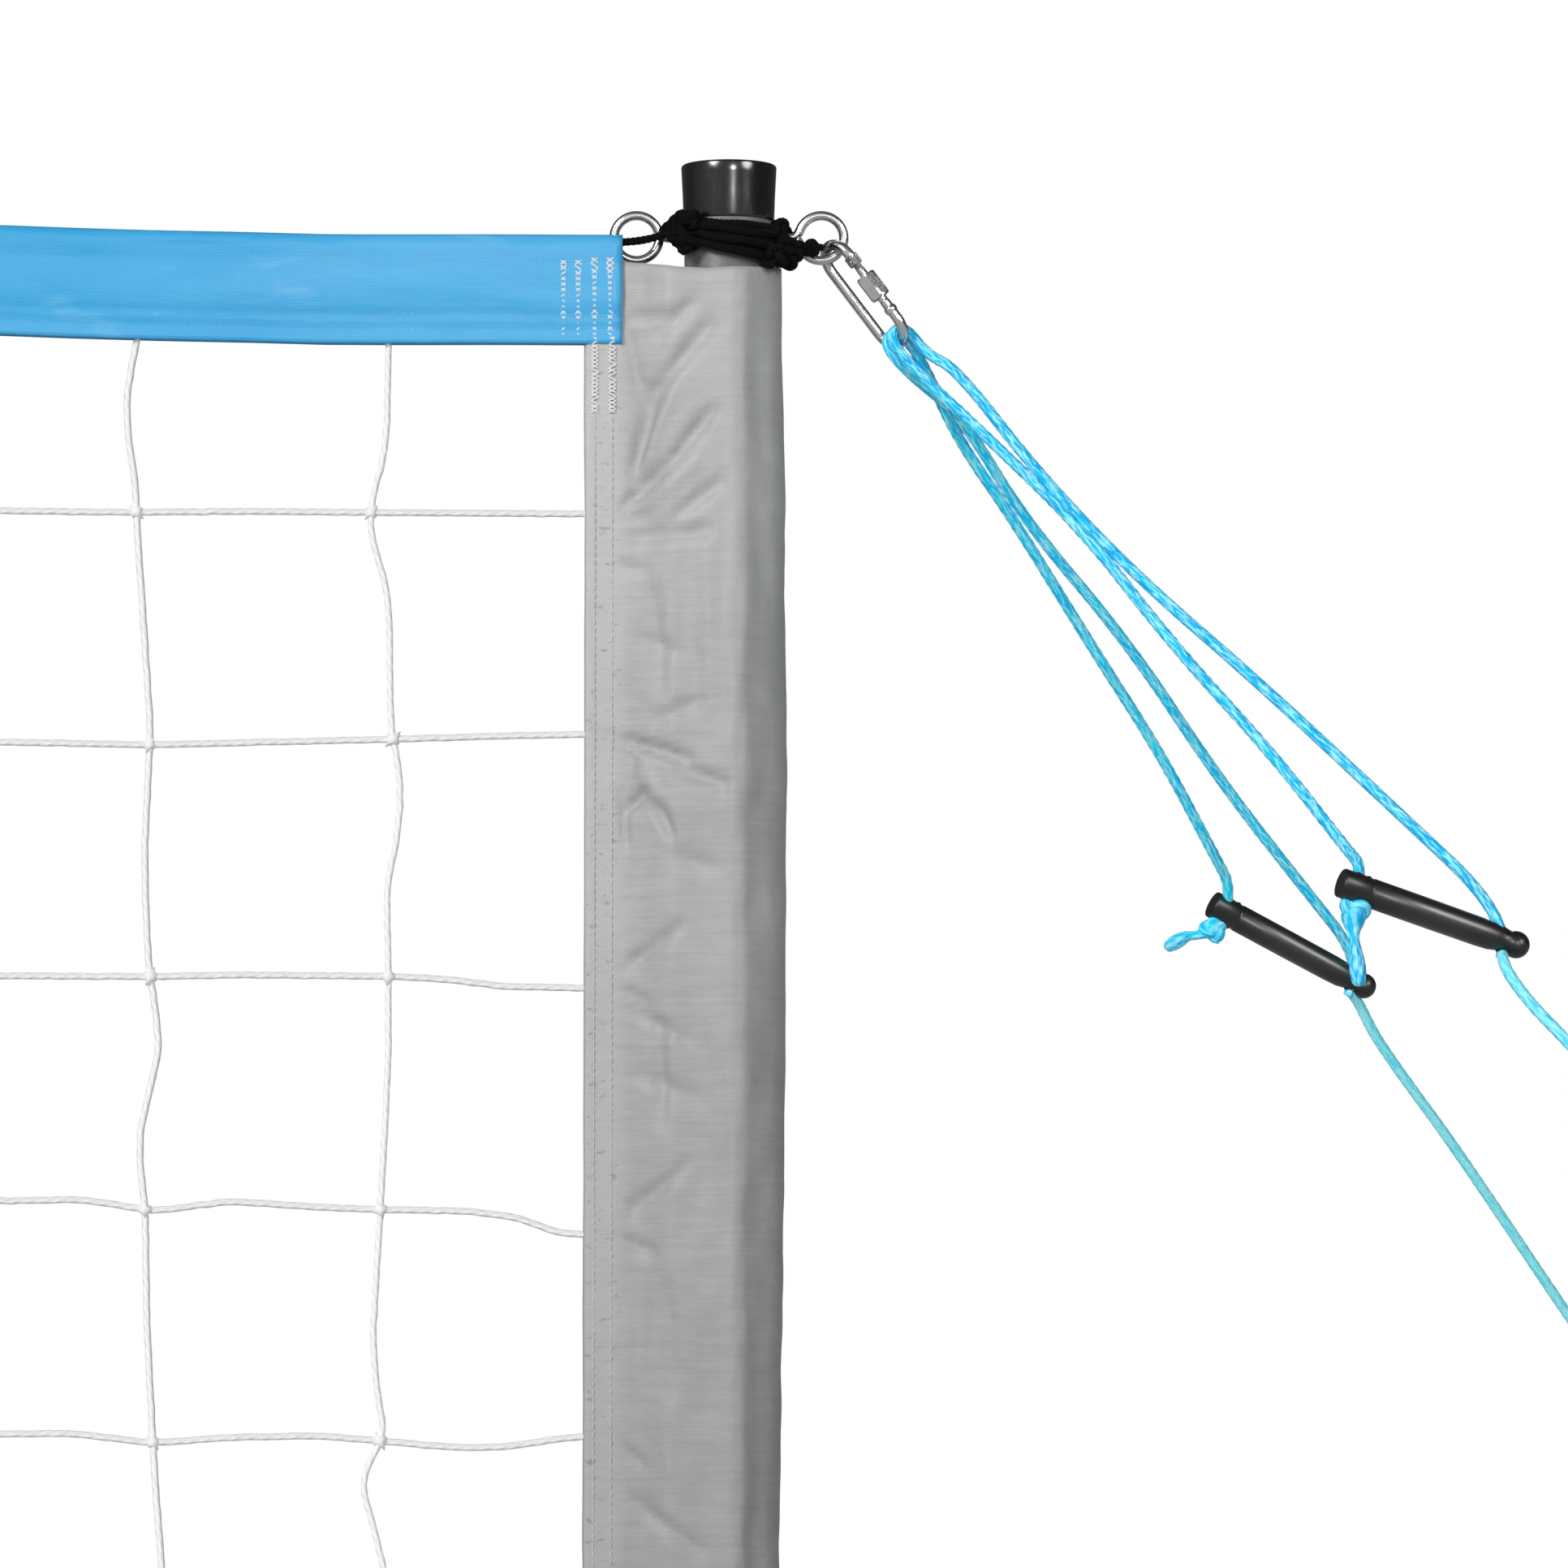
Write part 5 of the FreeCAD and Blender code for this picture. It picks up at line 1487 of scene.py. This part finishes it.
def stitching():
    hem, ends = [], []
    face = NET_Y - 3.15
    for x in (-57.0, -49.6):
        for z in np.arange(SLEEVE_LOW + 6, 2161.0, 3.6):
            hem.append([(x, face + 0.4, z), (x, face, z + 1.3), (x, face + 0.4, z + 2.6)])
        ends += zigzag(x, 2161.0, 2194.0, lambda z: face, 1.7)
    bars = (-70.5, -64.2, -57.2, -50.6)
    for x in bars:
        ends += zigzag(x, 2226.5 if x < -60 else 2227.5, 2193.4,
                       lambda z: NET_Y - 0.55 - tape_half(TAPE_TOP - z), 2.3)
    for x in bars:
        ends += zigzag(x, NET_BOTTOM + 12, NET_BOTTOM + 45,
                       lambda z: NET_Y - 0.55 - tape_half(z - NET_BOTTOM), 2.3)
    for side in SIDES:
        threaded("sleeve_stitches", side, hem, 0.26, HEM_THREAD, 5)
        threaded("tape_stitches", side, ends, 0.42, THREAD, 5)
    seams = []
    for d in TAPE_SEAMS:
        seams += level_seam(lambda x: TAPE_TOP - d + tape_rise(x), d)
        seams += level_seam(lambda x: NET_BOTTOM + d, d)
    threaded("tape_seams", "middle", seams, 0.3, SEAM, 4)


# All pieces
def at_both_ends(*rows):
    """Each piece of the rows at the right pole and, mirrored, at the left one."""
    for side in SIDES:
        for name, shape, *rest in rows:
            piece(name, side, shape, *rest)


for rope in (guy_loop, guy_line):
    for side in SIDES:
        for which in WAYS:
            rope(side, which)
at_both_ends(*[("rope_slider_" + which, slider(which), SATIN, "slider_" + which, "black_plastic",
                "slider_" + which) for which in WAYS])
at_both_ends(
    ("pole_cap", cap(), GLOSS, ROOT, "gloss_black_plastic", "top_cap"),
    ("upper_tube", upper_tube(), PAINT, ROOT, "dark_tube", "pole_upper"),
    ("net_side_eye", eye(-1), ZINC, ROOT, "zinc_steel", "net_eye"),
    ("guy_side_eye", eye(1), ZINC, ROOT, "zinc_steel", "guy_eye"))
at_both_ends(
    ("link_body", hook(), BRIGHT, "guy_set", "zinc_steel", "link_hook"),
    ("link_gate_rod", gate(), BRIGHT, "gate", "zinc_steel", "link_gate"),
    ("link_rivet", pin(), BRIGHT, "guy_set", "zinc_steel", "link_pin"),
    ("link_lock_nut", link_nut(), BRIGHT, "lock_nut", "zinc_steel", "link_nut", 25))
at_both_ends(("head_lashing", head_lashing(), CORD, ROOT, "black_cord", "head_tie"))
net()
for side in SIDES:
    cloth("pole_sleeve", side, sleeve(), GREY_CLOTH, 0.6, "side_sleeve",
          "upper_tube")
for top, name in ((True, "head"), (False, "foot")):
    cloth(name + "_coated_tape", "middle", tape(top), BLUE_TAPE, 0.8, name + "_tape",
          "net_level_twines")
stitching()
at_both_ends(
    ("grip_collar", ribbed_collar(), COLLAR, "collar", "black_plastic", "lock_collar"),
    ("middle_tube", lower_tube(620.0, 1200.0, 120.0), PAINT, "lower_pole", "dark_tube",
     "pole_middle"),
    ("base_tube", lower_tube(5.0, 620.0), PAINT, "lower_pole", "dark_tube", "pole_base"),
    ("foot_cup", foot_cup(), RUBBER, "lower_pole", "black_rubber", "pole_foot"),
    *[("ground_stake_" + which, stake(which), GALVANISED, "guy_set", "stake_steel",
       "stake_" + which) for which in WAYS])
at_both_ends(("foot_lashing", foot_lashing(), CORD, ROOT, "black_cord", "foot_tie"))

# Pieces that stay as they come from the source, in their own finishes
KEPT = {"slide_bush": COLLAR, "guide_ring": COLLAR, "barrel_nut": ZINC}
KEPT = {full(side, node): finish for side in SIDES for node, finish in KEPT.items()}
KEPT.update(head_cord=CORD, foot_cord=CORD)
for node, finish in KEPT.items():
    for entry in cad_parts[node].material_slots:
        entry.material = finish


# Studio
def toward(azimuth, elevation):
    a, e = math.radians(azimuth), math.radians(elevation)
    return Vector((math.sin(a) * math.cos(e), -math.cos(a) * math.cos(e), math.sin(e)))


def studio():
    """White to the camera and an even light to what is matt. What shines sees a soft light in
    front, a small bright one to the right and a dim room all round."""
    world = bpy.data.worlds.new("studio")
    bpy.context.scene.world = world
    world.use_nodes = True
    w = Nodes(world.node_tree)
    camera_ray, clear_ray, glossy_ray = (w.node("LightPath", output="Is " + kind + " Ray")
                                         for kind in ("Camera", "Transmission", "Glossy"))
    way = w.node("TexCoord", output="Generated")
    lights = []
    for centre, lowest, highest, dim, bright in ((toward(-22, 0), 0.0, 0.95, 0.10, 0.44),
                                                 (toward(46, 20), 0.970, 0.994, 0.0, 14.0)):
        facing = w.node("VectorMath", {"operation": "DOT_PRODUCT"}, {0: way, 1: centre}, "Value")
        lights.append(w.node("MapRange", {"interpolation_type": "SMOOTHSTEP"},
                             {"Value": facing, "From Min": lowest, "From Max": highest,
                              "To Min": dim, "To Max": bright}))
    level = w.node("Mix", None, {0: glossy_ray, 2: 0.22, 3: lights[0] + lights[1]})
    room = w.node("Background", None, {"Color": (1, 1, 1), "Strength": level})
    white = w.node("Background", None, {"Color": (1, 1, 1), "Strength": 1.0})
    seen = w.node("Math", {"operation": "MAXIMUM"}, {0: camera_ray, 1: clear_ray})
    sky = w.node("MixShader", None, {0: seen, 1: room, 2: white})
    w.node("OutputWorld", None, {"Surface": sky})


def sun(name, azimuth, elevation, strength, spread):
    lamp = bpy.data.lights.new(name, "SUN")
    lamp.energy = strength
    lamp.angle = math.radians(spread)
    made = added(name, lamp)
    made.rotation_mode = "QUATERNION"
    made.rotation_quaternion = (-toward(azimuth, elevation)).to_track_quat("-Z", "Y")


def floor():
    """A pale floor that gives the camera some light of its own."""
    f = Finish("pale_floor", roughness=0.9)
    f.set("Base Color", f.blend(f.grain(2, 4), (0.75, 0.75, 0.745), (0.79, 0.79, 0.79)))
    f.set("Normal", f.bump(f.grain(40, 3), 0.0005))
    share = 0.6 * f.node("LightPath", output="Is Camera Ray")
    glow = f.node("Emission", None, {"Strength": 0.86})
    f.show(f.node("MixShader", None, {0: share, 1: Value(f, f.surface.outputs[0]), 2: glow}))
    mesh = bpy.data.meshes.new("floor")
    size = 120.0
    mesh.from_pydata([(-size, -size, 0), (size, -size, 0), (size, size, 0), (-size, size, 0)], [],
                     [(0, 1, 2, 3)])
    mesh.materials.append(f.material)
    added("floor", mesh)


studio()
sun("key", -38, 26, 2.08, 20)
sun("front", 11, 10, 0.90, 7)
floor()
